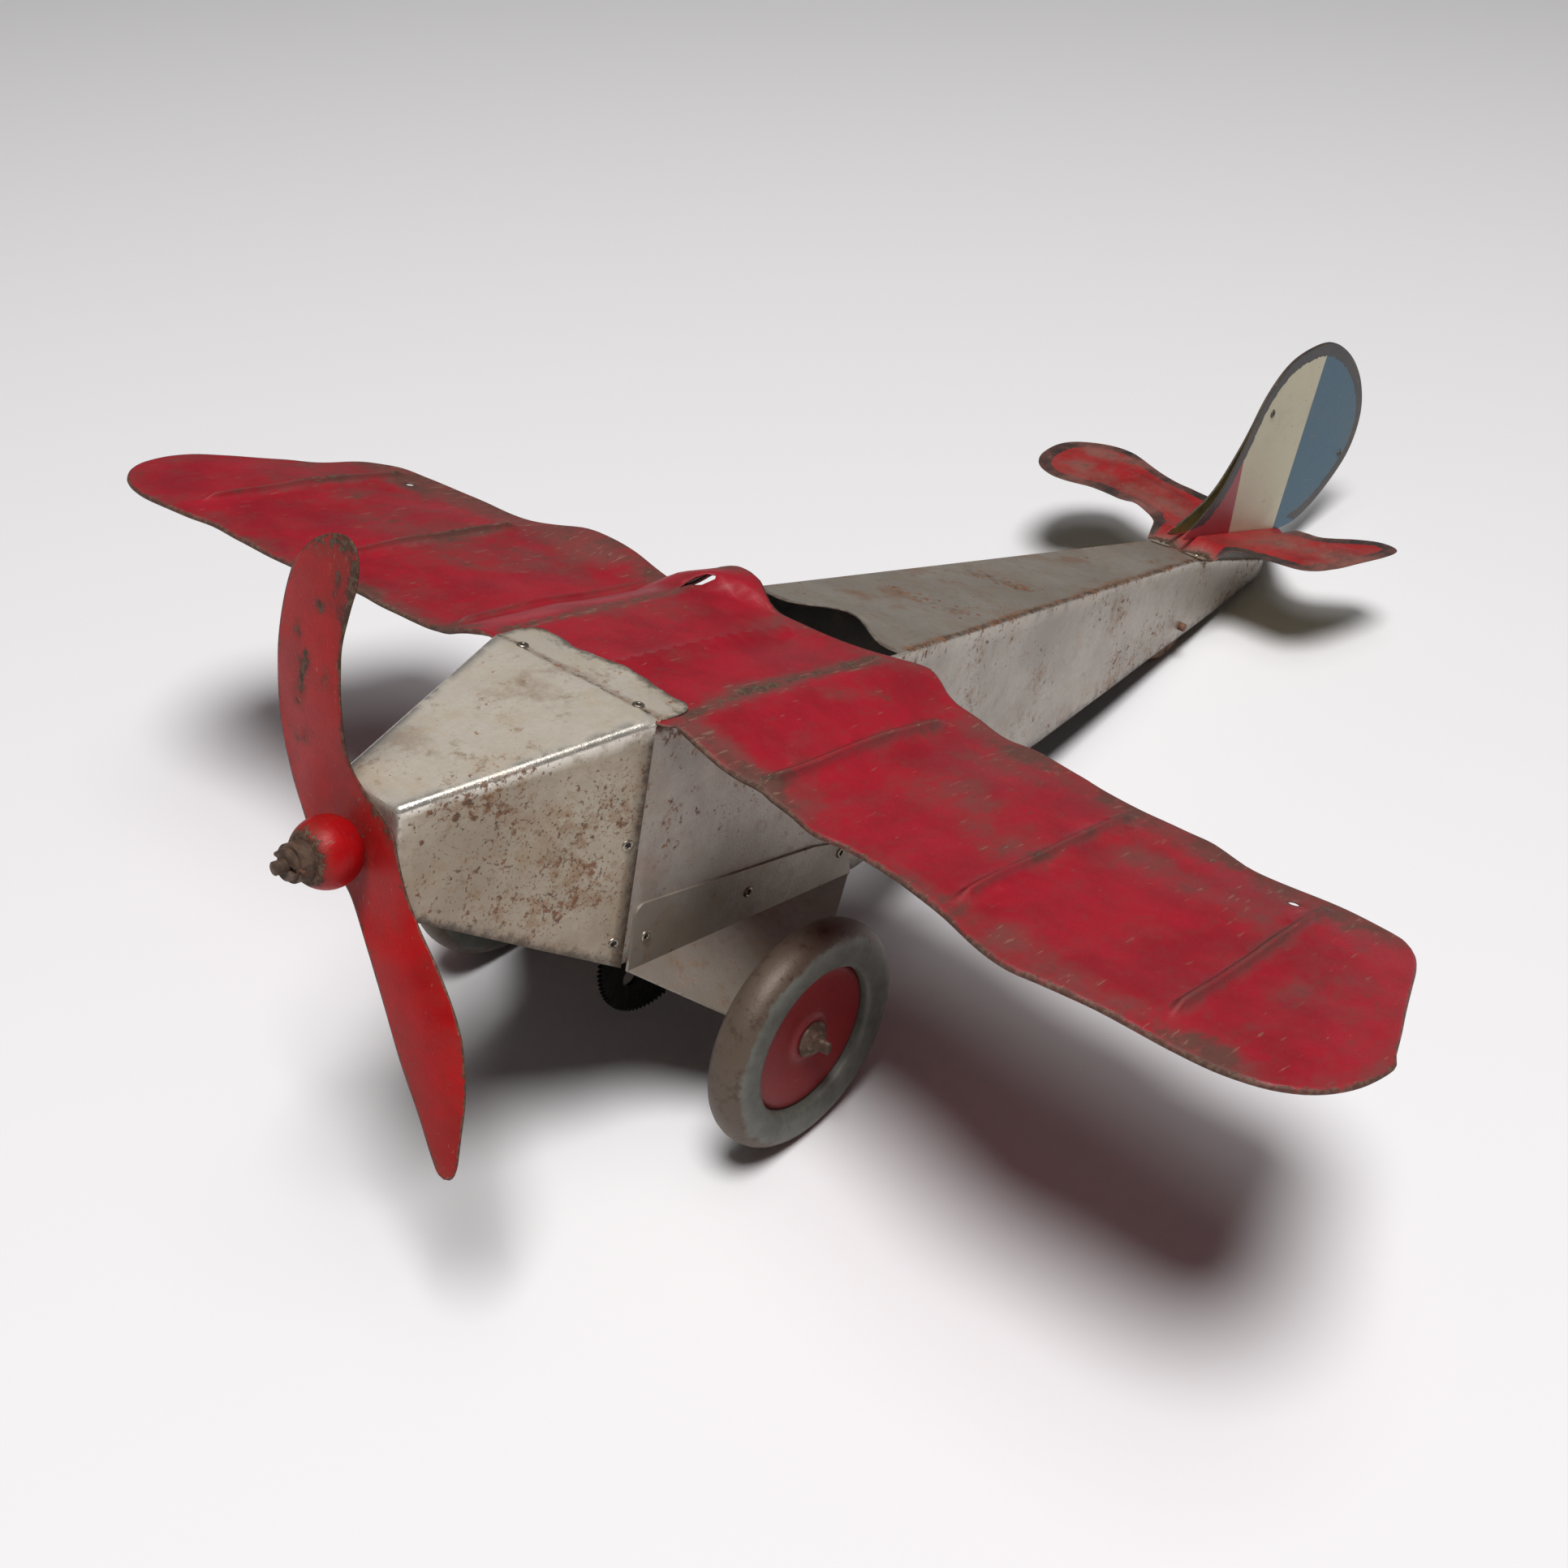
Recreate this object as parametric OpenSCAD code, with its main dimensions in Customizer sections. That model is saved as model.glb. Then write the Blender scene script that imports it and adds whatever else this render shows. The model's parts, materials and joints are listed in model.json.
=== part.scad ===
// Clockwork toy monoplane of folded tinplate.
// It is drawn level, with the road axle at the origin, +X to port, +Y to the tail and +Z up.
// The stand module then tips it back onto its tail roller and moves the middle of its length to Y = 0.

/* [Sheet metal] */
// Thickness of the body, cowl and tail sheets
tin = 0.5; // [0.4:0.1:0.8]
// Thickness of the wing sheet
wing_t = 0.6; // [0.5:0.1:0.9]
// Thickness of the landing gear brackets
bracket_t = 0.8; // [0.6:0.1:1.2]
// Thickness of the motor plates
plate_t = 0.9; // [0.7:0.1:1.2]

/* [Body] */
// Width of the body between the cowl and the taper
body_w = 56; // [52:1:60]
// Where the body sides start to taper, behind the axle
taper_y = 52; // [50:1:60]
// Length of the body behind the axle
body_rear = 335; // [310:5:360]
// Width of the body at its tail end
tail_w = 11; // [9:1:14]
// Height of the body top above the axle, at the back of the cowl
body_top = 86; // [84:1:92]
// Height of the body bottom above the axle, at the front
body_bottom = 18; // [16:1:22]
// Fall of the body top over each millimetre of length
top_fall = 0.02; // [0.01:0.005:0.04]
// Front edge of the body's top sheet, behind the wing
top_sheet_y = 56; // [54:1:60]

/* [Cowl] */
// Distance from the axle forward to the nose face
nose_y = 101; // [95:1:108]
// Distance from the axle forward to the back edge of the cowl sides
cowl_back = 41; // [38:1:44]
// Width of the nose face
nose_w = 21; // [18:1:26]
// Height of the top of the nose face above the axle
nose_top = 71.2; // [69:0.5:74]
// Height of the bottom of the nose face above the axle
nose_bottom = 45.5; // [42:0.5:50]
// Length of the cowl's lip over the wing
lip = 12; // [8:0.5:13]

/* [Wing] */
// Span over the tips
span = 408; // [380:4:440]
// Chord from the front edge to the back edge near the body
chord = 94; // [90:1:98]
// Front edge of the wing outside the body, ahead of the axle
wing_front = 38; // [36:0.5:39.5]
// Drop from the shoulders to the flat of the wing
shoulder_drop = 9.5; // [7:0.5:13]
// Distance from the middle to the foot of a shoulder
shoulder_out = 62; // [58:1:68]
// Distances from the middle to the three pressed ribs of a half
rib_x = [53, 111, 164];
// Height of a pressed rib
rib_h = 1; // [0.6:0.1:1.4]
// Half width of a pressed rib
rib_w = 3.2; // [2.4:0.2:4]
// Width of the folded hem
hem_w = 2.2; // [1.8:0.1:2.6]
// Thickness of the folded hem
hem_t = 1.7; // [1.4:0.1:2]
// Diameter of the two hanging holes
hang_d = 3; // [2:0.5:4]
// Distance of a hanging hole from the middle
hang_x = 157; // [150:1:159]
// Distance of a hanging hole behind the axle
hang_y = 40; // [36:1:42]

/* [Road wheels] */
// Diameter of a road wheel over its rim
wheel_d = 65; // [58:1:72]
// Width of a wheel rim
rim_w = 13; // [11:0.5:15]
// Diameter of the painted centre disc
disc_d = 43; // [40:0.5:45]
// Distance between the middles of the two wheels
track = 115; // [112:1:120]
// Diameter of the road axle
axle_d = 4; // [3:0.5:5]
// Length of axle that stands out of a wheel's middle
axle_end = 13; // [11:0.5:15]

/* [Propeller] */
// Height of the propeller shaft above the road axle
shaft_z = 60; // [58:0.5:62]
// Radius of the propeller over its tips
blade_r = 73; // [68:1:78]
// Width of a blade
blade_w = 25; // [20:1:30]
// Thickness of the blade sheet
blade_t = 0.8; // [0.6:0.1:1.2]
// Radius of the hub part of the propeller sheet
hub_r = 14; // [12:0.5:16]
// Gap from the nose face to the propeller sheet
prop_gap = 2.6; // [2.2:0.1:3.4]
// Diameter of the propeller shaft
shaft_d = 3.2; // [2.6:0.2:4]
// Diameter of the ball boss
ball_d = 16.8; // [15:0.4:18]
// Diameter of the collar in front of the ball
collar_d = 9; // [8:0.5:11]
// Length of the collar
collar_l = 5; // [4:0.5:6]

/* [Motor] */
// Distance between the outer faces of the motor plates
motor_w = 32; // [30:1:36]
// Tooth module of the road axle gear and its pinion
fine_m = 0.5; // [0.5:0.01:0.52]
// Tooth module of the rest of the train
main_m = 0.6; // [0.58:0.01:0.62]
// Teeth of the road axle gear
axle_teeth = 82; // [80:2:84]
// Teeth of the layshaft pinion that meshes with the axle gear
low_teeth = 12; // [12:1:14]
// Teeth of the layshaft pinion that meshes with the great wheel
high_teeth = 10; // [10:1:12]
// Teeth of the great wheel
great_teeth = 64; // [60:2:66]
// Teeth of the pinion on the crown arbor
crown_pinion_teeth = 10; // [10:1:12]
// Teeth of the crown wheel
crown_teeth = 24; // [22:1:26]
// Teeth of the pinion on the propeller shaft
shaft_teeth = 8; // [8:1:9]
// Thickness of the gear wheels
gear_t = 1.2; // [1:0.1:1.6]
// Diameter of the layshaft and of the crown arbor
arbor_d = 2; // [1.6:0.1:2.4]
// Diameter of the winding arbor
wind_d = 4; // [3.6:0.2:4.4]
// Turns of the mainspring
spring_turns = 8; // [6:1:9]
// Thickness of the mainspring strip
spring_t = 0.4; // [0.3:0.05:0.5]
// Outer radius of the mainspring
spring_r = 17; // [15:0.5:17.5]
// Running clearance of a shaft in its bearing, on the radius
run = 0.05; // [0.03:0.01:0.1]

/* [Tail] */
// Distance of the tail roller's pin behind the axle
tail_pin_y = 262; // [255:1:270]
// Height of the tail roller's pin above the axle
tail_pin_z = 47.5; // [46:0.5:50]
// Diameter of the tail roller
roller_d = 30.4; // [26:0.4:34]
// Width of the tail roller
roller_w = 14; // [10:1:15]
// Reach of the port stabiliser from the middle
port_tail_span = 60; // [55:1:80]
// Reach of the starboard stabiliser, which is bent out less
starboard_tail_span = 79; // [55:1:82]
// Front end of the fin's fold, behind the axle
fold_y = 266; // [262:1:270]
// Height of the front end of the fold above the axle
fold_z = 77; // [75:0.5:80]
// Length of the fold between fin and stabiliser
fold_l = 86; // [80:1:92]
// Height of the fin above its fold
fin_h = 66; // [60:1:72]
// Opening between the two fin skins at their front foot
fin_gape = 7; // [4:0.5:9]

/* [Fastenings] */
// Diameter of an eyelet's flange
eyelet_d = 3.2; // [2.8:0.1:3.6]
// Diameter of an eyelet's barrel
barrel_d = 2.2; // [2:0.1:2.4]
// Diameter of the hole through an eyelet
eyelet_bore = 1.4; // [1.2:0.1:1.6]

/* [Hidden] */
$fn = 48;

half_body = body_w / 2;
half_tail = tail_w / 2;
half_nose = nose_w / 2;
axle_r = axle_d / 2;
shaft_r = shaft_d / 2;
arbor_r = arbor_d / 2;
wind_r = wind_d / 2;
// Hair of extra length that makes a cut run clear of a face
eps = 0.01;

// Stance: the toy tips back until the roller meets the floor
tail_reach = norm([tail_pin_y, tail_pin_z]);
pitch = asin((wheel_d - roller_d) / 2 / tail_reach) + atan(tail_pin_z / tail_pin_y);
function floor_y(y, z) = y * cos(pitch) + z * sin(pitch);

// Side view of the body: bottom edge and top edge as [distance behind the axle, height]
taper_l = body_rear - taper_y;
kink_y = 262;
kink_z = body_top - 13;
tail_top = body_top - 26;
tail_bottom = body_bottom + 34.5;
belly_kink_y = 162;
belly_kink_z = body_bottom + 10;

// Height of the body's top edges, which the wing rests on
cowl_rise = (body_top - nose_top) / (nose_y - cowl_back);
function deck_z(y) = body_top - (y > -cowl_back ? top_fall : -cowl_rise) * (y + cowl_back);
// Height of the top sheet behind the wing
function rear_top(y) = y < kink_y
    ? deck_z(taper_y) + (kink_z - deck_z(taper_y)) * (y - taper_y) / (kink_y - taper_y)
    : kink_z + (tail_top - kink_z) * (y - kink_y) / (body_rear - kink_y);
rear_fall = (kink_z - tail_top) / (body_rear - kink_y);

// Half width of the body, and of the cowl outside it
nose_run = nose_y - cowl_back;
cowl_taper = (half_body + tin - half_nose) / nose_run;
function cowl_x(y) = half_body + tin + cowl_taper * (y + cowl_back);
function body_x(y) = y < -cowl_back ? cowl_x(y) - tin
    : y < taper_y ? half_body
    : half_body - (half_body - half_tail) * (y - taper_y) / taper_l;

// Length of body side that runs on under the cowl
under_cowl = 9;

// Smooth curve through the rows [u, v] of a table
function row_at(t, u, i = 0) = i >= len(t) - 2 || u < t[i + 1][0] ? i : row_at(t, u, i + 1);
function slope_at(t, i) =
    let (a = max(i - 1, 0), b = min(i + 1, len(t) - 1))
    (t[b][1] - t[a][1]) / (t[b][0] - t[a][0]);
function smooth(t, u) =
    let (i = row_at(t, u), h = t[i + 1][0] - t[i][0], s = (u - t[i][0]) / h)
    t[i][1] * (2 * pow(s, 3) - 3 * s * s + 1)
    + slope_at(t, i) * h * (pow(s, 3) - 2 * s * s + s)
    + t[i + 1][1] * (3 * s * s - 2 * pow(s, 3))
    + slope_at(t, i + 1) * h * (pow(s, 3) - s * s);
function clamp(u) = max(0, min(1, u));
function ease(u) = let (c = clamp(u)) c * c * (3 - 2 * c);
function steps(a, b, n) = [for (i = [0 : n - 1]) a + (b - a) * i / n];

// Closed sheet between a grid of upper points and a grid of lower points.
// Rows crossed with columns give the direction of the upper face.
module sheet(upper, lower) {
    n = len(upper);
    m = len(upper[0]);
    function up(i, j) = i * m + j;
    function low(i, j) = n * m + i * m + j;
    polyhedron(
        points = [for (g = [upper, lower]) for (row = g) for (p = row) p],
        faces = concat(
            [for (i = [0 : n - 2]) for (j = [0 : m - 2])
                for (f = [[up(i, j), up(i, j + 1), up(i + 1, j + 1)],
                          [up(i, j), up(i + 1, j + 1), up(i + 1, j)],
                          [low(i, j), low(i + 1, j), low(i + 1, j + 1)],
                          [low(i, j), low(i + 1, j + 1), low(i, j + 1)]]) f],
            [for (i = [0 : n - 2])
                for (f = [[low(i, 0), up(i, 0), up(i + 1, 0)],
                          [low(i, 0), up(i + 1, 0), low(i + 1, 0)],
                          [low(i + 1, m - 1), up(i + 1, m - 1), up(i, m - 1)],
                          [low(i + 1, m - 1), up(i, m - 1), low(i, m - 1)]]) f],
            [for (j = [0 : m - 2])
                for (f = [[low(0, j + 1), up(0, j + 1), up(0, j)],
                          [low(0, j + 1), up(0, j), low(0, j)],
                          [low(n - 1, j), up(n - 1, j), up(n - 1, j + 1)],
                          [low(n - 1, j), up(n - 1, j + 1), low(n - 1, j + 1)]]) f]),
        convexity = 6);
}

module stand() {
    translate([0, -middle_y, wheel_d / 2]) rotate([-pitch, 0, 0]) children();
}
// Port and starboard copies
module both_sides() {
    children();
    mirror([1, 0, 0]) children();
}
// Lays a drawing of [y, z] points upright and gives it a thickness along X, from x
module upright(x, t) {
    translate([x, 0, 0]) rotate([90, 0, 90]) linear_extrude(t) children();
}
module rod_x(r, x0, x1) {
    translate([x0, 0, 0]) rotate([0, 90, 0]) cylinder(r = r, h = x1 - x0);
}
module rod_y(r, y0, y1) {
    translate([0, y0, 0]) rotate([-90, 0, 0]) cylinder(r = r, h = y1 - y0);
}

// Eyelets: a hollow rivet through a stack of sheets, its outer flange on z = 0
module eyelet(grip) {
    flange_t = 0.4;
    b = barrel_d / 2;
    f = eyelet_d / 2;
    h = eyelet_bore / 2;
    rotate_extrude($fn = 24) polygon([[h, -grip - flange_t], [f - 0.3, -grip - flange_t],
        [f, -grip - 0.1], [f, -grip], [b, -grip], [b, 0], [f, 0], [f, 0.1],
        [f - 0.3, flange_t], [h + 0.2, flange_t], [h, flange_t - 0.2]]);
}
module eyelet_hole() {
    translate([0, 0, -6]) cylinder(r = barrel_d / 2, h = 12, $fn = 24);
}
cowl_side_eyelets = [54.6, 27.3];
cowl_eyelet_back = 3;
cowl_top_eyelet_x = 20;
cowl_top_eyelet_y = -cowl_back + 2.5;
bracket_eyelet_y = [-33.8, 5.1, 44.6];
bracket_eyelet_z = body_bottom + 8.5;
module at_cowl_sides() {
    y = -cowl_back - cowl_eyelet_back;
    for (z = cowl_side_eyelets)
        both_sides() translate([cowl_x(y), y, z]) rotate([0, 0, -atan(cowl_taper)])
            rotate([0, 90, 0]) children();
}
module at_cowl_top() {
    for (s = [-1, 1])
        translate([s * cowl_top_eyelet_x, cowl_top_eyelet_y,
            deck_z(cowl_top_eyelet_y) + wing_t + tin])
            rotate([-atan(top_fall), 0, 0]) children();
}
module at_bracket(i, z = bracket_eyelet_z) {
    both_sides() translate([half_body + bracket_t, bracket_eyelet_y[i], z])
        rotate([0, 90, 0]) children();
}

// Body: a folded channel, open below, with its top sheet behind the wing
module body_plan(inset) {
    f = -cowl_back - under_cowl;
    pts = [[body_x(f) - inset, f], [half_body - inset, -cowl_back],
        [half_body - inset, taper_y], [half_tail - inset, body_rear]];
    polygon(concat(pts, [for (i = [3 : -1 : 0]) [-pts[i][0], pts[i][1]]]));
}
module body_side_view(drop, down) {
    f = -cowl_back - under_cowl;
    polygon([[f, deck_z(f) - drop], [-cowl_back, deck_z(-cowl_back) - drop],
        [taper_y, deck_z(taper_y) - drop], [kink_y, kink_z - drop],
        [body_rear + (down > 0 ? 1 : 0), tail_top - drop - (down > 0 ? rear_fall : 0)],
        [body_rear + (down > 0 ? 1 : 0), tail_bottom - down], [belly_kink_y, belly_kink_z - down],
        [taper_y, body_bottom - down], [f, body_bottom + 1.5 - down]]);
}
module body_block(inset, drop, down) {
    intersection() {
        linear_extrude(200) body_plan(inset);
        upright(-half_body - 5, body_w + 10) body_side_view(drop, down);
    }
}
module fuselage_shell() {
    hollow_front = -cowl_back - under_cowl - 1;
    color("silver") stand() difference() {
        body_block(0, 0, 0);
        body_block(tin, tin, 20);
        translate([-half_body + tin, hollow_front, 0])
            cube([body_w - 2 * tin, -hollow_front + taper_y, 200]);
        translate([0, top_sheet_y - 60 + tin, 0]) intersection() {
            cylinder(r = 60, h = 200, $fn = 96);
            translate([-half_body + tin, -10, 0]) cube([body_w - 2 * tin, 80, 200]);
        }
        at_cowl_sides() eyelet_hole();
        for (i = [0 : 2]) at_bracket(i) eyelet_hole();
        for (s = [-1, 1]) at_tail_root(s) eyelet_hole();
        translate([0, tail_pin_y, tail_pin_z]) rod_x(tail_pin_r, -half_body, half_body);
        translate([0, 0, great_z]) rod_x(wind_r + 2, -half_body - 1, -half_body + 1);
    }
}

// Cowl: a folded nose cover, open below and behind, whose lip lies over the wing
lip_y = -cowl_back + lip;
module cowl_plan(inset) {
    pts = [[half_nose - inset, -nose_y], [cowl_x(-cowl_back) - inset, -cowl_back]];
    polygon(concat(pts, [for (i = [1 : -1 : 0]) [-pts[i][0], pts[i][1]]]));
}
module cowl_side_view(drop, down) {
    over = wing_t + tin - drop;
    low = body_bottom + 1.5;
    polygon([[-nose_y, nose_bottom - down], [-nose_y, nose_top + over],
        [-cowl_back, body_top + over], [-cowl_back, low - down]]);
}
module cowl_block(inset, drop, down) {
    intersection() {
        linear_extrude(200) cowl_plan(inset);
        upright(-half_body - 5, body_w + 10) cowl_side_view(drop, down);
    }
}
module cowl_lip() {
    corner = 6;
    low = wing_t;
    intersection() {
        linear_extrude(200) hull() {
            translate([-half_body, -cowl_back - eps]) square([body_w, 1]);
            for (s = [-1, 1])
                translate([s * (half_body - corner), lip_y - corner]) circle(r = corner);
        }
        upright(-half_body - 5, body_w + 10) polygon([[-cowl_back - eps, body_top + low],
            [lip_y, deck_z(lip_y) + low], [lip_y, deck_z(lip_y) + low + tin],
            [-cowl_back - eps, body_top + low + tin]]);
    }
}
module nose_cowl() {
    color("gainsboro") stand() difference() {
        union() {
            difference() {
                cowl_block(0, 0, 0);
                intersection() {
                    cowl_block(tin, tin, 30);
                    translate([-half_body, -nose_y + tin, 0]) cube([body_w, nose_run, 200]);
                }
                translate([-cowl_x(-cowl_back) + tin, -cowl_back - 1, 0])
                    cube([body_w, 2, body_top + wing_t]);
            }
            cowl_lip();
        }
        at_cowl_sides() eyelet_hole();
        at_cowl_top() eyelet_hole();
        translate([0, 0, shaft_z]) rod_y(bush_r, -nose_y - 1, -nose_y + 2);
    }
}

// Nose bearing: a flanged bush riveted into the nose face
bush_r = shaft_r + 1.6;
bush_flange = 0.8;
module nose_bearing() {
    color("goldenrod") stand() translate([0, 0, shaft_z]) difference() {
        union() {
            rod_y(bush_r, -nose_y, -nose_y + 7);
            rod_y(bush_r + 1.4, -nose_y - bush_flange, -nose_y);
            rod_y(bush_r + 1, -nose_y + tin, -nose_y + tin + bush_flange);
        }
        rod_y(shaft_r + run, -nose_y - 2, -nose_y + 8);
    }
}

// Wing: one hemmed sheet draped over the body. Edge tables give the share of the half span
// and the share of the chord behind the front line.
half_span = span / 2;
front_edge = [[0, 0], [0.17, 0.01], [0.22, 0.005], [0.27, 0.053], [0.305, 0.074], [0.353, 0.053],
    [0.417, 0.043], [0.49, 0.027], [0.55, 0], [0.608, -0.037], [0.652, -0.053], [0.711, -0.037],
    [0.784, -0.032], [0.843, -0.043], [0.892, -0.032], [0.931, 0], [0.965, 0.07], [0.99, 0.16],
    [1, 0.24]];
back_edge = [[0, 0.936], [0.11, 0.936], [0.14, 0.97], [0.17, 1.02], [0.196, 1.043], [0.235, 1.021],
    [0.27, 1.048], [0.304, 1.037], [0.353, 1.043], [0.412, 1.021], [0.466, 1], [0.515, 0.984],
    [0.588, 0.979], [0.637, 0.989], [0.696, 0.957], [0.76, 0.952], [0.824, 0.945], [0.877, 0.92],
    [0.902, 0.862], [0.917, 0.787], [0.936, 0.66], [0.961, 0.532], [0.983, 0.404], [1, 0.3]];
// Half width of the middle panel, which meets the cowl's rear edge
panel_x = half_body + 2;
notch_x = panel_x + 1.5;
// Distance from the middle where a shoulder starts to fall
shoulder_in = half_body + 3;
function wing_lead(a) = a <= panel_x + eps ? -cowl_back
    : -wing_front + chord * smooth(front_edge, a / half_span);
function wing_trail(a) = -wing_front + chord * smooth(back_edge, a / half_span);
function bump(d) = abs(d) < 1 ? (1 + cos(180 * d)) / 2 : 0;
// Shares of the chord where the middle rib and the others start
middle_rib_from = 0.18;
rib_from = 0.08;
function rib_lift(a, v) = rib_h * ease((0.95 - v) / 0.06)
    * (ease((v - middle_rib_from) / 0.06) * bump(a / rib_w) + ease((v - rib_from) / 0.06)
        * (bump((a - rib_x[0]) / rib_w) + bump((a - rib_x[1]) / rib_w)
            + bump((a - rib_x[2]) / rib_w)));
function sag(a, y) = a < half_body - 2
    ? 1.6 * (1 - pow(a / (half_body - 2), 2)) * ease((y - 5) / 45) : 0;
function wing_under(a, y, v) = deck_z(max(y, -cowl_back + eps))
    - shoulder_drop * ease((a - shoulder_in) / (shoulder_out - shoulder_in))
    - 1.2 * pow(abs(2 * v - 1), 3) * ease((a - panel_x) / 20)
    + rib_lift(a, v) - sag(a, y);
// Stations out along a half, closer together at the ribs and the tip
rib_steps = [-1, -0.5, 0, 0.5, 1] * rib_w;
function at_rib(i) = [for (d = rib_steps) rib_x[i] + d];
half_stations = concat([rib_w / 2, rib_w, 12, 21, half_body - 1, panel_x],
    [notch_x], steps(notch_x + 3, rib_x[0] - rib_w, 3), at_rib(0),
    steps(shoulder_out, rib_x[1] - rib_w, 5), at_rib(1),
    steps(rib_x[1] + 9, rib_x[2] - rib_w, 5), at_rib(2),
    [for (f = [0.855, 0.885, 0.915, 0.94, 0.96, 0.975, 0.988, 0.996, 1]) half_span * f]);
wing_stations = concat([for (i = [len(half_stations) - 1 : -1 : 0]) -half_stations[i]], [0],
    half_stations);
// Distances in from an edge, with the drop of the upper face and the depth of the lower face
hem_cols = [[0, 0.35, 0.75], [0.4, 0, 1], [hem_w - 0.4, 0, 1], [hem_w, 0, 0]];
mid_cols = [0.08, 0.14, 0.26, 0.42, 0.58, 0.74, 0.89, 0.95];
// Columns of a station, as [y, drop, hem share]
function wing_cols(f, b, scale) = concat(
    [for (c = hem_cols) [f + c[0] * scale, c[1] * scale, c[2]]],
    [for (v = mid_cols) [f + hem_w * scale + (b - f - 2 * hem_w * scale) * v, 0, 0]],
    [for (i = [3 : -1 : 0]) [b - hem_cols[i][0] * scale, hem_cols[i][1] * scale, hem_cols[i][2]]]);
function wing_row(x, upper) = let (a = abs(x), f = wing_lead(a), b = wing_trail(a),
    scale = min(1, (b - f) / 6 / hem_w), hemmed = ease((a - notch_x - 1) / 3),
    tip = a > half_span - 1.5 ? 1 : 0)
    [for (c = wing_cols(f, b, scale)) let (v = (c[0] - f) / (b - f),
        z = wing_under(a, c[0], v) + wing_t)
        [x, c[0], upper ? z - c[1] * hemmed
            : z - wing_t - (hem_t - wing_t) * max(c[2], tip) * hemmed]];
module wing() {
    color("firebrick") stand() difference() {
        sheet([for (x = wing_stations) wing_row(x, true)],
            [for (x = wing_stations) wing_row(x, false)]);
        at_cowl_top() eyelet_hole();
        for (s = [-1, 1]) translate([s * hang_x, hang_y, 0]) cylinder(r = hang_d / 2, h = 200);
    }
}

// Landing gear bracket: a riveted plate, a leg flared outwards and an ear round the axle
ear_x = track / 2 - rim_w / 2 - 3.8;
ear_r = axle_r + 4.5;
bend_z = body_bottom - 0.5;
leg_foot_z = 5;
leg_run = ear_x - half_body;
leg_angle = atan((bend_z - leg_foot_z) / leg_run);
leg_l = norm([leg_run, bend_z - leg_foot_z]);
module bracket() {
    difference() {
        union() {
            upright(half_body, bracket_t) hull() {
                translate([-38.5, bend_z]) square([90, 1]);
                translate([-35.5, bend_z + 16]) circle(r = 3);
                translate([32, bend_z + 11.5]) circle(r = 3);
                translate([45, bend_z + 9]) circle(r = 3);
            }
            translate([half_body, 0, bend_z]) rotate([0, leg_angle, 0])
                linear_extrude(bracket_t) polygon([[0, -38.5], [leg_l + 0.3, -16],
                    [leg_l + 0.3, 17], [0, 51.5]]);
            upright(ear_x, bracket_t) hull() {
                circle(r = ear_r);
                translate([-16, leg_foot_z - 0.5]) square([33, 1]);
            }
        }
        rod_x(axle_r + run, ear_x - 1, ear_x + bracket_t + 1);
        for (i = [0 : 2])
            translate([half_body, bracket_eyelet_y[i], bracket_eyelet_z]) rotate([0, 90, 0])
                eyelet_hole();
    }
}
module port_gear_bracket() {
    color("silver") stand() bracket();
}
module starboard_gear_bracket() {
    color("silver") stand() mirror([1, 0, 0]) bracket();
}

// Tail sheets: each is half the fin and half the stabiliser, folded along the fin's foot.
// Fin tables give the share up the fin and [share of the fold behind its front end].
fold_fall = 0.1;
function fold_at(y) = fold_z - fold_fall * (y - fold_y);
fin_front = [[0, 0], [0.2, 0.25], [0.42, 0.38], [0.68, 0.49], [0.86, 0.64], [0.96, 0.82], [1, 0.97]];
fin_back = [[0, 1.01], [0.09, 1.22], [0.24, 1.42], [0.44, 1.57], [0.64, 1.57], [0.82, 1.46],
    [0.94, 1.28], [1, 1.06]];
fin_rows = [0, 0.05, 0.12, 0.2, 0.3, 0.42, 0.55, 0.62, 0.68, 0.78, 0.86, 0.92, 0.96, 0.985, 1];
fin_cols = [0, 0.08, 0.2, 0.35, 0.5, 0.65, 0.8, 0.92, 1];
fin_top_lean = -0.02;
// Height of the fin skin's foot within the stabiliser's sheet
foot_in = 0.2;
function fin_point(t, v) = let (f = smooth(fin_front, t), b = smooth(fin_back, t),
    y = fold_y + fold_l * (f + (b - f) * v))
    [fin_gape / 2 * pow(max(0, 1 - v / 0.85), 1.8) * pow(max(0, 1 - t / 0.62), 1.2), y,
        fold_z + foot_in * (1 - t) - fold_fall * (1 - t) * fold_l * (f + (b - f) * v) + fin_h * t
            + fin_top_lean * fold_l * t * v];
// Stabiliser tables give the share of its span and the share of the fold
port_front = [[0, 0.06], [0.2, 0.08], [0.31, 0.15], [0.49, 0.157], [0.6, 0.142], [0.705, 0.143],
    [0.78, 0.18], [0.864, 0.259], [0.91, 0.342], [0.94, 0.427], [0.985, 0.542], [1, 0.62]];
port_back = [[0, 1.01], [0.12, 0.88], [0.25, 0.75], [0.39, 0.63], [0.5, 0.6], [0.6, 0.61],
    [0.715, 0.66], [0.823, 0.713], [0.934, 0.7], [0.98, 0.67], [1, 0.64]];
starboard_front = [[0, 0.06], [0.17, 0.08], [0.28, 0.207], [0.35, 0.237], [0.41, 0.237],
    [0.55, 0.21], [0.63, 0.19], [0.73, 0.132], [0.8, 0.117], [0.885, 0.15], [0.94, 0.205],
    [0.98, 0.3], [1, 0.42]];
starboard_back = [[0, 1.01], [0.09, 0.895], [0.19, 0.767], [0.3, 0.668], [0.39, 0.645],
    [0.5, 0.652], [0.6, 0.683], [0.68, 0.705], [0.74, 0.721], [0.83, 0.699], [0.91, 0.627],
    [0.98, 0.534], [1, 0.44]];
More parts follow.
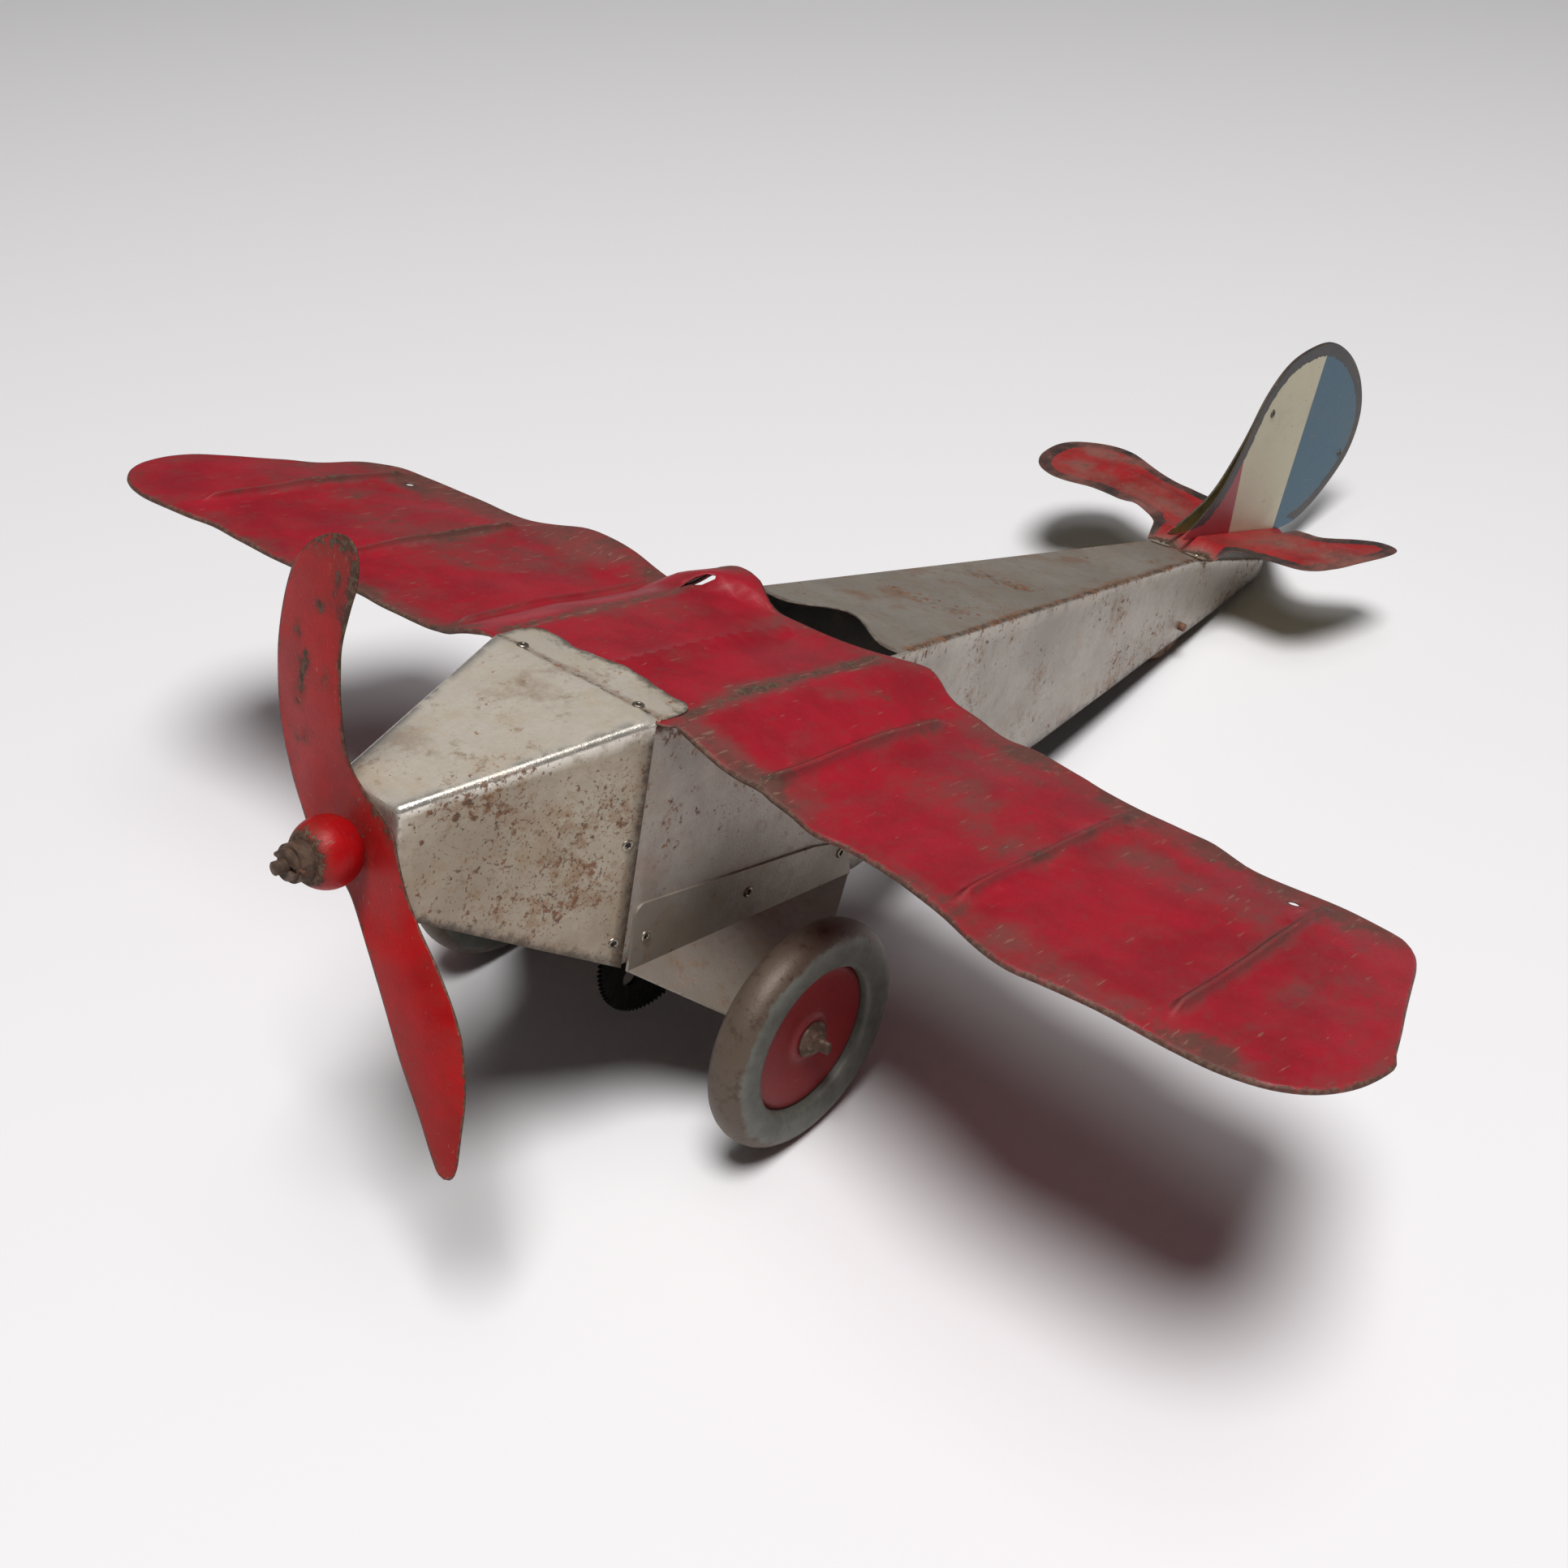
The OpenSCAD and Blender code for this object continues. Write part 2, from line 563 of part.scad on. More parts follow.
tail_rows = [0, 0.06, 0.12, 0.2, 0.28, 0.35, 0.45, 0.55, 0.65, 0.75, 0.83, 0.9, 0.95, 0.98, 1];
tail_cols = [0, 0.06, 0.2, 0.35, 0.5, 0.65, 0.8, 0.94, 1];
// Out from the fold a stabiliser lifts to its own level, which rises to the rear and outwards
level_out = 24;
level_z = fold_z - 1;
level_y = fold_y + 17;
level_rise = 0.1;
dihedral = 0.1;
function tail_level(x, y) = level_z + level_rise * (y - level_y) + dihedral * max(0, x - level_out);
rib_share = [0.36, 0.68];
function tail_point(front, back, span, t, v) = let (f = smooth(front, t), b = smooth(back, t),
    y = fold_y + fold_l * (f + (b - f) * v), x = 0.1 + (span - 0.1) * t,
    k = ease((x - 4) / level_out))
    [x, y, fold_at(y) * (1 - k) + tail_level(x, y) * k
        + 0.8 * (bump((v - rib_share[0]) / 0.1) + bump((v - rib_share[1]) / 0.1))
            * ease((t - 0.15) / 0.1) * ease((0.93 - t) / 0.1)];
function lift(g, d) = [for (row = g) [for (p = row) p + d]];
// Root tab: curls down from the stabiliser's front root to the body top
tab_x = 7;
tab_y = fold_y + 4;
tab_w = 8;
module at_tail_root(s) {
    translate([s * tab_x, tab_y, rear_top(tab_y) + tin]) rotate([-atan(rear_fall), 0, 0])
        children();
}
module tail_sheet(front, back, span) {
    fin = [for (t = fin_rows) [for (v = fin_cols) fin_point(t, v)]];
    stab = [for (t = tail_rows) [for (v = tail_cols) tail_point(front, back, span, t, v)]];
    rise = fold_at(tab_y) - rear_top(tab_y);
    root_x = half_tail - 4;
    difference() {
        union() {
            sheet(fin, lift(fin, [tin, 0, 0]));
            sheet(lift(stab, [0, 0, tin]), stab);
            at_tail_root(1) translate([root_x - tab_x, -tab_w / 2, -tin]) {
                cube([tab_x - root_x + 3, tab_w, tin]);
                translate([0.1, 0.2, 0.2]) cube([tin, tab_w - 0.4, rise + tin + 0.2]);
            }
        }
        at_tail_root(1) eyelet_hole();
        at_fin_eyelets() eyelet_hole();
    }
}
module at_fin_eyelets() {
    for (p = [[0.66, 0.1], [0.4, 0.93]])
        translate([0, fin_point(p[0], p[1])[1], fin_point(p[0], p[1])[2]])
            rotate([0, 90, 0]) children();
}
module port_tail_sheet() {
    color("brown") stand() tail_sheet(port_front, port_back, port_tail_span);
}
module starboard_tail_sheet() {
    color("brown") stand() mirror([1, 0, 0])
        tail_sheet(starboard_front, starboard_back, starboard_tail_span);
}

// Eyelet groups
module cowl_eyelets() {
    color("lightgray") stand() {
        at_cowl_sides() eyelet(2 * tin);
        at_cowl_top() eyelet(tin + wing_t);
    }
}
module bracket_eyelets() {
    color("lightgray") stand() {
        at_bracket(0) eyelet(bracket_t + 2 * tin);
        at_bracket(1) eyelet(bracket_t + tin);
        at_bracket(2) eyelet(bracket_t + 2 * tin);
    }
}
module fin_eyelets() {
    color("lightgray") stand() at_fin_eyelets() translate([0, 0, tin]) eyelet(2 * tin);
}
module tail_root_eyelets() {
    color("lightgray") stand() for (s = [-1, 1]) at_tail_root(s) eyelet(2 * tin);
}

// Motor frame: two plates on four pillars, footed on the body sides
plate_x = motor_w / 2 - plate_t;
foot_y = [bracket_eyelet_y[0] - 4.2, bracket_eyelet_y[2] + 4.2];
foot_z = bracket_eyelet_z;
foot_h = 12;
low_z = fine_m * (axle_teeth + low_teeth) / 2;
great_z = low_z + main_m * (high_teeth + great_teeth) / 2;
crown_reach = main_m * (great_teeth + crown_pinion_teeth) / 2;
crown_z = shaft_z;
crown_y = -sqrt(pow(crown_reach, 2) - pow(crown_z - great_z, 2));
pillar_r = 1.6;
pillars = [[-30, body_bottom + 2], [32, body_bottom + 2], [-31, great_z + 22], [26, great_z + 20]];
module foot(y, inward) {
    side = half_body - tin;
    translate([plate_x, min(y, y + inward * tin), foot_z - foot_h / 2])
        cube([side - plate_x, tin, foot_h]);
    translate([side - tin, min(y, y + inward * 8), foot_z - foot_h / 2]) cube([tin, 8, foot_h]);
}
module motor_plate() {
    difference() {
        union() {
            upright(plate_x, plate_t) hull() {
                translate([foot_y[0], foot_z - foot_h / 2])
                    square([foot_y[1] - foot_y[0], foot_h]);
                for (p = pillars) translate(p) circle(r = 4);
            }
            foot(foot_y[0], 1);
            foot(foot_y[1], -1);
        }
        translate([0, 0, low_z]) rod_x(arbor_r + run, 0, motor_w);
        translate([0, 0, great_z]) rod_x(wind_r + run, 0, motor_w / 2 + 1);
        translate([0, crown_y, crown_z]) rod_x(arbor_r + run, 0, motor_w);
        for (p = pillars) translate([0, p[0], p[1]]) rod_x(pillar_r - 0.4, 0, motor_w / 2 + 1);
        for (i = [0, 2])
            translate([half_body, bracket_eyelet_y[i], bracket_eyelet_z]) rotate([0, 90, 0])
                eyelet_hole();
        translate([0, bridge_y, shaft_z - bridge_h / 2]) cube([motor_w, bridge_t, bridge_h]);
    }
}
module port_motor_plate() {
    color("dimgray") stand() motor_plate();
}
module starboard_motor_plate() {
    color("dimgray") stand() difference() {
        mirror([1, 0, 0]) motor_plate();
        translate([0, post_y, great_z]) rod_x(pillar_r - 0.4, -motor_w, 0);
    }
}
module motor_pillars() {
    color("darkgray") stand() for (p = pillars) translate([0, p[0], p[1]]) {
        rod_x(pillar_r, -plate_x, plate_x);
        rod_x(pillar_r - 0.4, -motor_w / 2 - 0.8, motor_w / 2 + 0.8);
    }
}

// Mainspring: a flat spiral strip, hooked to a post on the starboard plate
spring_x0 = -plate_x + 1;
spring_w = 8.5;
spring_in = wind_r + 0.3;
post_y = spring_r + spring_t + pillar_r;
function spiral(turn, off) = let (r = spring_in + (spring_r - spring_in) * turn / spring_turns + off)
    [r * cos(360 * turn), r * sin(360 * turn)];
module spring_post() {
    color("darkgray") stand() translate([0, post_y, great_z]) {
        rod_x(pillar_r, -plate_x, spring_x0 + spring_w + 0.5);
        rod_x(pillar_r - 0.4, -motor_w / 2 - 0.8, -plate_x);
    }
}
module mainspring() {
    sides = 20;
    turns = [for (i = [0 : spring_turns * sides]) i / sides];
    color("steelblue") stand() translate([0, 0, great_z]) upright(spring_x0, spring_w)
        polygon(concat([for (u = turns) spiral(u, 0)],
            [for (i = [len(turns) - 1 : -1 : 0]) spiral(turns[i], spring_t)]));
}

// Bridge across the motor plates that carries the back of the propeller shaft
bridge_y = -33;
bridge_t = 1;
bridge_h = 10;
module shaft_bridge() {
    color("dimgray") stand() difference() {
        translate([-motor_w / 2, bridge_y, shaft_z - bridge_h / 2])
            cube([motor_w, bridge_t, bridge_h]);
        translate([0, 0, shaft_z]) rod_y(shaft_r + run, bridge_y - 1, bridge_y + bridge_t + 1);
    }
}

// Tail roller and its pin
tail_pin_r = 1.5;
pin_half = body_x(tail_pin_y) + 2.2;
module tail_pin() {
    color("saddlebrown") stand() translate([0, tail_pin_y, tail_pin_z])
        rod_x(tail_pin_r, -pin_half, pin_half);
}
module tail_roller() {
    r = roller_d / 2;
    w = roller_w / 2;
    color("peru") stand() translate([0, tail_pin_y, tail_pin_z]) rotate([0, 90, 0])
        rotate_extrude($fn = 64) polygon([[tail_pin_r + run, -w], [r - 1.2, -w], [r, -w + 1.2],
            [r, w - 1.2], [r - 1.2, w], [tail_pin_r + run, w]]);
}

// Propeller group, on the shaft at x = 0
sheet_y = -nose_y - prop_gap;
pinion_len = 4.5;
crown_r = main_m * crown_teeth / 2;
crown_front = crown_y - crown_r;
pinion_y0 = crown_front - pinion_len / 2;
shaft_back = crown_y - arbor_r - 1.5;
ball_r = ball_d / 2;
ball_y = sheet_y - ball_r * 0.86;
collar_y = ball_y - ball_r * 0.72;
shaft_front = collar_y - collar_l - 2.6;
// The blades are bent: both lean to port and forwards, and one stands out further
blade_lean = 12.3;
blade_forward = 3;
blade_offset = 3.5;
function blade_turn(r, s) = 133 - 23 * ease((r - 15) / (blade_r - 15))
    - s * blade_lean * ease((r - 12) / (blade_r - 13));
function blade_half(r) = r < hub_r ? sqrt(max(0, hub_r * hub_r - r * r * 0.4))
    : blade_w / 2 * min(1, sqrt(max(0.004, 1 - pow((r - blade_r + 22) / 22, 2) * (r > blade_r - 22
        ? 1 : 0))));
blade_twist = 7;
// Rows run from one tip through the hub to the other
half_rows = [0, 4, 8, 11, 14, 18, 24, 31, 38, 45, 51, 56, 60.5, 64.5, 68, 70.6, 72.3, 73];
blade_rows = concat([for (i = [len(half_rows) - 1 : -1 : 1]) -half_rows[i]], half_rows);
blade_cols = [-1, -0.7, -0.35, 0, 0.35, 0.7, 1];
function blade_point(row, v) = let (r = abs(row) * blade_r / 73, s = row < 0 ? -1 : 1,
    a = blade_turn(r, s), w = blade_half(r) * v, k = s * blade_twist * ease((r - hub_r) / 12),
    reach = s * r * (1 - s * blade_offset / blade_r * ease((r - hub_r) / 30)),
    out = [cos(a), sin(a)], across = [-sin(a), cos(a)])
    [reach * out[0] - w * across[0] * cos(k),
        -w * sin(k) - (1.2 * (1 - v * v) + blade_forward * r / blade_r) * ease((r - 8) / 20),
        reach * out[1] - w * across[1] * cos(k)];
module propeller() {
    back = [for (q = blade_rows) [for (v = blade_cols) blade_point(q, v)]];
    color("red") stand() translate([0, sheet_y, shaft_z]) difference() {
        sheet(lift(back, [0, -blade_t, 0]), back);
        rod_y(shaft_r, -4, 4);
    }
}
module ball_boss() {
    front = asin((collar_y - ball_y) / ball_r);
    back = asin((sheet_y - blade_t - ball_y - 1.2) / ball_r);
    curve = [for (i = [0 : 20]) front + (back - front) * i / 20];
    color("red") stand() translate([0, ball_y, shaft_z]) rotate([-90, 0, 0]) rotate_extrude()
        polygon(concat([[shaft_r, ball_r * sin(front)]],
            [for (a = curve) [ball_r * cos(a), ball_r * sin(a)]],
            [[shaft_r, ball_r * sin(back)]]));
}
module propeller_shaft() {
    color("saddlebrown") stand() translate([0, 0, shaft_z]) difference() {
        rod_y(shaft_r, shaft_front, shaft_back);
        translate([0, end_pin_y, 0]) rod_x(end_pin_r, -5, 5);
    }
}
end_pin_r = 0.5;
end_pin_y = collar_y - collar_l + 1.6;
module shaft_collar() {
    slot = 1.4;
    color("sienna") stand() translate([0, 0, shaft_z]) difference() {
        union() {
            rod_y(collar_d / 2, collar_y - collar_l + 1.4, collar_y);
            rod_y(collar_d / 2 - 0.9, collar_y - collar_l, collar_y - collar_l + 1.4);
        }
        rod_y(shaft_r, collar_y - collar_l - 1, collar_y + 1);
        translate([0, end_pin_y, 0]) rod_x(end_pin_r, -10, 10);
        translate([-10, collar_y - collar_l - 1, -slot / 2]) cube([20, 1.8, slot]);
    }
}
module shaft_end_pin() {
    color("saddlebrown") stand() translate([0, end_pin_y, shaft_z])
        rod_x(end_pin_r, -collar_d / 2 - 0.8, collar_d / 2 + 0.8);
}

// Gears: thin straight-flanked teeth with backlash, cut on a blank
tooth_pitch_share = 0.42;
module toothed(teeth, m, h, turn = 0) {
    r = teeth * m / 2;
    tip = r + 0.85 * m;
    root = r - 1.15 * m;
    step = 360 / teeth;
    half = step * tooth_pitch_share / 2;
    rotate([0, 0, turn]) linear_extrude(h) polygon([for (i = [0 : teeth - 1])
        for (c = [[root, -half * 1.5], [tip, -half * 0.42], [tip, half * 0.42], [root, half * 1.5]])
            [c[0] * cos(i * step + c[1]), c[0] * sin(i * step + c[1])]]);
}
// A gear across the toy, its face at x, its first tooth turned by a from +Z towards the tail
module gear_x(teeth, m, x, h, bore, a = 0) {
    translate([x, 0, 0]) rotate([0, 90, 0]) difference() {
        toothed(teeth, m, h, 180 - a);
        translate([0, 0, -1]) cylinder(r = bore, h = h + 2);
    }
}
axle_gear_x = 3.8;
low_h = 4;
low_x = axle_gear_x - low_h / 2;
high_x = 6;
high_h = 4.5;
great_x = high_x + (high_h - gear_t) / 2;
crown_root_x = -main_m * shaft_teeth / 2 - 1.15 * main_m;

module axle_gear() {
    color("#303030") stand() difference() {
        gear_x(axle_teeth, fine_m, axle_gear_x - gear_t / 2, gear_t, axle_r);
        for (a = [45 : 90 : 315])
            rotate([a, 0, 0]) translate([axle_gear_x, 0, axle_teeth * fine_m / 4 + 1])
                rod_x(3, -2, 2);
    }
}
module low_pinion() {
    color("gold") stand() translate([0, 0, low_z])
        gear_x(low_teeth, fine_m, low_x, low_h, arbor_r, 180 + 180 / low_teeth);
}
module high_pinion() {
    color("gold") stand() translate([0, 0, low_z])
        gear_x(high_teeth, main_m, high_x, high_h, arbor_r);
}
module layshaft() {
    color("darkgray") stand() translate([0, 0, low_z])
        rod_x(arbor_r, -motor_w / 2 - 0.6, motor_w / 2 + 0.6);
}
module great_wheel() {
    hole_at = main_m * great_teeth / 2 * 0.62;
    color("gold") stand() translate([0, 0, great_z]) difference() {
        gear_x(great_teeth, main_m, great_x, gear_t, wind_r + run, 180 + 180 / great_teeth);
        for (a = [0 : 72 : 288]) rotate([a, 0, 0]) translate([0, 0, hole_at])
            rod_x(3.6, great_x - 1, great_x + gear_t + 1);
    }
}

// Ratchet on the winding arbor, and the click that the great wheel carries
ratchet_r = 6;
ratchet_teeth = 12;
ratchet_t = 1.4;
ratchet_x = great_x - 0.3 - ratchet_t;
click_r = ratchet_r + 0.25;
module ratchet_wheel() {
    root = ratchet_r - 1.1;
    color("gold") stand() translate([ratchet_x, 0, great_z]) rotate([0, 90, 0]) difference() {
        linear_extrude(ratchet_t) polygon([for (i = [0 : ratchet_teeth - 1])
            for (c = [[root, 1], [ratchet_r, 0]])
                [c[0] * cos(i * 30 + c[1]), c[0] * sin(i * 30 + c[1])]]);
        translate([0, 0, -1]) cylinder(r = wind_r, h = ratchet_t + 2);
    }
}
module winding_click() {
    pivot_y = ratchet_r + 3.4;
    color("darkgray") stand() translate([0, 0, great_z]) {
        upright(ratchet_x, ratchet_t) difference() {
            hull() {
                translate([pivot_y, -4.5]) circle(r = 1.7);
                translate([click_r + 0.5, -0.5]) circle(r = 0.4);
            }
            circle(r = click_r, $fn = 96);
        }
        translate([0, pivot_y, -4.5]) rod_x(0.8, ratchet_x - 0.4, great_x);
    }
}

// Winding arbor and key, on the starboard side
key_x = half_body + 3;
key_len = 14;
module winding_arbor() {
    square_end = 5;
    side = wind_r * 1.3;
    color("darkgray") stand() translate([0, 0, great_z]) {
        rod_x(wind_r, -key_x, motor_w / 2 + 0.6);
        translate([-key_x - square_end, -side / 2, -side / 2]) cube([square_end + eps, side, side]);
    }
}
module winding_key() {
    side = wind_r * 1.3;
    color("silver") stand() translate([0, 0, great_z]) difference() {
        union() {
            rod_x(wind_r + 1.3, -key_x - key_len + 4, -key_x - 0.2);
            translate([0, 0.6, 0]) rotate([90, 0, 0]) linear_extrude(1.2) hull() {
                for (s = [-1, 1]) translate([-key_x - key_len - 2, s * 7.5]) circle(r = 5);
                translate([-key_x - key_len + 5, 0]) circle(r = 2);
            }
        }
        translate([-key_x - 5.4, -side / 2, -side / 2]) cube([8, side, side]);
        for (s = [-1, 1]) translate([-key_x - key_len - 2, 3, s * 7.5])
            rotate([90, 0, 0]) cylinder(r = 2.4, h = 6);
    }
}

// Crown arbor, its pinion and its crown wheel
module crown_arbor() {
    color("darkgray") stand() translate([0, crown_y, crown_z])
        rod_x(arbor_r, -motor_w / 2 - 0.6, motor_w / 2 + 0.6);
}
// Direction from the great wheel to the crown arbor, and the pinion's turn that meshes there
crown_line = atan2(crown_y, crown_z - great_z);
crown_turn = crown_line + 180 + 180 / crown_pinion_teeth
    - great_teeth / crown_pinion_teeth * (180 + 180 / great_teeth - crown_line);
module crown_pinion() {
    color("gold") stand() translate([0, crown_y, crown_z])
        gear_x(crown_pinion_teeth, main_m, high_x, high_h, arbor_r, crown_turn);
}
module crown_wheel() {
    tooth = PI * main_m * tooth_pitch_share / 2;
    depth = 2 * main_m;
    face = 1.8;
    color("gold") stand() translate([crown_root_x, crown_y, crown_z]) difference() {
        union() {
            rod_x(crown_r + face / 2, -1, 0);
            rod_x(arbor_r + 1.6, -2.4, 0);
            for (i = [0 : crown_teeth - 1]) rotate([(i + 0.5) * 360 / crown_teeth, 0, 0])
                translate([0, -crown_r + face / 2, 0]) rotate([90, 0, 0]) linear_extrude(face)
                    polygon([[-0.2, -tooth * 1.35], [depth, -tooth * 0.5], [depth, tooth * 0.5],
                        [-0.2, tooth * 1.35]]);
        }
        rod_x(arbor_r, -3, 3);
    }
}
module shaft_pinion() {
    color("gold") stand() translate([0, pinion_y0, shaft_z]) rotate([-90, 0, 0]) difference() {
        toothed(shaft_teeth, main_m, pinion_len, 180);
        translate([0, 0, -1]) cylinder(r = shaft_r, h = pinion_len + 2);
    }
}

// Road wheels: a hollow pressed rim with a flat side, and a dished painted disc
rim_r = wheel_d / 2;
disc_r = disc_d / 2;
hub_out = 1.6;
module rim() {
    half_flat = rim_w / 2 - 1;
    round_r = rim_w / 2 - 0.4;
    turn = 180 - asin(half_flat / round_r);
    rotate([0, 90, 0]) rotate_extrude($fn = 96) polygon(concat([[disc_r, -half_flat]],
        [for (i = [-16 : 16]) [rim_r - round_r + round_r * cos(turn * i / 16),
            round_r * sin(turn * i / 16)]],
        [[disc_r, half_flat]]));
}
module disc() {
    dish = 1.1;
    rotate([0, 90, 0]) rotate_extrude($fn = 96) polygon([[axle_r, -2.4], [6, -2.4], [7, -tin],
        [disc_r - 2, -tin], [disc_r, -dish - tin], [disc_r, -dish], [disc_r, dish + 0.6],
        [disc_r - 2.6, dish + tin + 1.4], [7, dish + tin + 0.6], [6, dish + tin + hub_out],
        [axle_r, dish + tin + hub_out]]);
}
module port_wheel_rim() {
    color("dimgray") stand() translate([track / 2, 0, 0]) rim();
}
module starboard_wheel_rim() {
    color("dimgray") stand() mirror([1, 0, 0]) translate([track / 2, 0, 0]) rim();
}
module port_wheel_disc() {
    color("crimson") stand() translate([track / 2, 0, 0]) disc();
}
module starboard_wheel_disc() {
    color("crimson") stand() mirror([1, 0, 0]) translate([track / 2, 0, 0]) disc();
}
hub_face = track / 2 + 1.1 + tin + hub_out;
module road_axle() {
    end = track / 2 + axle_end;
    color("saddlebrown") stand() {
        rod_x(axle_r, -end + 3, end - 3);
        both_sides() translate([end - 3 - eps, 0, 0]) intersection() {
            rod_x(axle_r, 0, 3);
            translate([0, -1.1, -axle_r]) cube([3, 2.2, axle_d]);
        }
    }
}
module axle_spacers() {
    inner = ear_x + bracket_t + 0.15;
    outer = track / 2 - 2.4;
    color("sienna") stand() both_sides() difference() {
        rod_x(axle_r + 1.5, inner, outer);
        rod_x(axle_r, inner - 1, outer + 1);
    }
}
module hub_washers() {
    color("sienna") stand() both_sides() difference() {
        union() {
            rod_x(axle_r + 3.2, hub_face, hub_face + 1);
            rod_x(axle_r + 1.6, hub_face + 1, hub_face + 4.2);
        }
        rod_x(axle_r, hub_face - 1, hub_face + 5);
    }
}

// The toy's length runs from the shaft's front end to the back of the fin
fin_back_y = max([for (t = fin_rows) let (p = fin_point(t, 1)) floor_y(p[1], p[2])]);
nose_front_y = floor_y(shaft_front, shaft_z - shaft_r);
middle_y = (fin_back_y + nose_front_y) / 2;

fuselage_shell();
nose_cowl();
nose_bearing();
wing();
port_gear_bracket();
starboard_gear_bracket();
port_tail_sheet();
starboard_tail_sheet();
cowl_eyelets();
bracket_eyelets();
fin_eyelets();
tail_root_eyelets();
port_motor_plate();
starboard_motor_plate();
motor_pillars();
spring_post();
mainspring();
shaft_bridge();
tail_pin();
propeller_shaft();
shaft_pinion();
propeller();
ball_boss();
shaft_collar();
shaft_end_pin();
road_axle();
axle_gear();
port_wheel_disc();
starboard_wheel_disc();
port_wheel_rim();
starboard_wheel_rim();
axle_spacers();
hub_washers();
layshaft();
low_pinion();
high_pinion();
great_wheel();
winding_click();
winding_arbor();
ratchet_wheel();
winding_key();
crown_arbor();
crown_pinion();
crown_wheel();
tail_roller();
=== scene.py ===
import json
from functools import partial
from math import atan2, cos, degrees, hypot, pi, radians, sin, sqrt, tau
import bpy
import bmesh
from mathutils import Vector, Matrix, noise
from mathutils.geometry import delaunay_2d_cdt
from mathutils.kdtree import KDTree


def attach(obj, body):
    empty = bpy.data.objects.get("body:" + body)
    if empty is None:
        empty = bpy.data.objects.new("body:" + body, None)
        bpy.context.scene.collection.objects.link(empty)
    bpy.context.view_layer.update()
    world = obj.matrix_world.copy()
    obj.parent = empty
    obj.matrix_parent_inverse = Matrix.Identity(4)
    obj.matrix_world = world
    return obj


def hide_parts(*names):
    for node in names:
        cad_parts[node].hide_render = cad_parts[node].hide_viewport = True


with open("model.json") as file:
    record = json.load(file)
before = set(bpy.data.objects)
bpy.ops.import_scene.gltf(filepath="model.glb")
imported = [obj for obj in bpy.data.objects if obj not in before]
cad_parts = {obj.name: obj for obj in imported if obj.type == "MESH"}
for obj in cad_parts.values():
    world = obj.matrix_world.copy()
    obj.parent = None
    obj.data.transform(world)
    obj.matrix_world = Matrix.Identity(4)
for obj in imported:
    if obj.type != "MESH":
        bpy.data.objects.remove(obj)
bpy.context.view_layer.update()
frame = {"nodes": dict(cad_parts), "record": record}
joints = {j["name"]: j for j in frame["record"]["behaviour"]["joints"]}
origin = Vector(joints["road_axle_spin"]["pos_m"])  # middle of the road axle
shaftAxis = Vector(joints["prop_spin"]["axis"])
pitch = atan2(-shaftAxis.z, shaftAxis.y)  # how far the toy leans back on its tail
mm = 0.001
print("frame loaded, pitch", round(degrees(pitch), 3))


# From millimetres in the toy's own level frame to metres where it stands
def toRow(p):
    y, z = p[1] * mm, p[2] * mm
    return Vector((p[0] * mm, y * cos(pitch) + z * sin(pitch),
                   z * cos(pitch) - y * sin(pitch))) + origin


# A direction of the level frame, where the toy stands
def turned(p):
    return toRow(p) - origin


def clamp(u):
    return max(0, min(1, u))


def ease(u):
    u = clamp(u)
    return u * u * (3 - 2 * u)


def bump(u):
    return (1 + cos(pi * u)) / 2 if abs(u) < 1 else 0


def lerp(a, b, u):
    return a + (b - a) * u


def wavy(*at):
    return noise.noise(Vector(at))


# Angles of one turn in equal steps
def turnSteps(count):
    return [tau * i / count for i in range(count)]


# Value at x on straight stretches between (x, value) rows
def alongRows(rows, x):
    for a, b in zip(rows, rows[1:]):
        if x <= b[0]:
            return lerp(a[1], b[1], (x - a[0]) / (b[0] - a[0]))
    return rows[-1][1]


def addObject(name, data):
    obj = bpy.data.objects.new(name, data)
    bpy.context.collection.objects.link(obj)
    return obj


def toMesh(bm, name):
    mesh = bpy.data.meshes.new(name)
    bm.to_mesh(mesh)
    bm.free()
    mesh.shade_smooth()
    return mesh


# camera
camera = {"place": (282.65, -266.17, 368.78), "azimuth": 41.007, "elevation": 36.323,
          "roll": 0.211, "lens": 42.488}  # place in mm, with the road axle at y = 0


def makeCamera():
    a, e, r = (radians(camera[k]) for k in ("azimuth", "elevation", "roll"))
    back = Vector((sin(a) * cos(e), -cos(a) * cos(e), sin(e)))
    right = Vector((cos(a), sin(a), 0))
    up = back.cross(right)
    right, up = right * cos(r) + up * sin(r), up * cos(r) - right * sin(r)
    data = bpy.data.cameras.new("photoView")
    data.lens = camera["lens"]
    data.sensor_width = 36
    data.sensor_height = 36
    data.sensor_fit = "HORIZONTAL"
    data.clip_start = 0.01
    data.clip_end = 50
    obj = addObject("photoView", data)
    place = Vector(camera["place"]) * mm + Vector((0, origin.y, 0))
    turn = Matrix((right, up, back)).transposed()
    obj.matrix_world = Matrix.Translation(place) @ turn.to_4x4()
    bpy.context.scene.camera = obj


makeCamera()


# sRGB hex to the linear colour that the shaders take
def linear(text):
    parts = [int(text[i:i + 2], 16) / 255 for i in (1, 3, 5)]
    return tuple(v / 12.92 if v <= 0.04045 else ((v + 0.055) / 1.055) ** 2.4 for v in parts) + (1,)


# Sets a node's inputs, each to another node's socket, a hex colour or a plain value
def feed(tree, node, inputs):
    for key, value in inputs.items():
        isHex = isinstance(value, str) and value.startswith("#")
        if isinstance(value, bpy.types.NodeSocket):
            tree.links.new(value, node.inputs[key])
        else:
            node.inputs[key].default_value = linear(value) if isHex else value


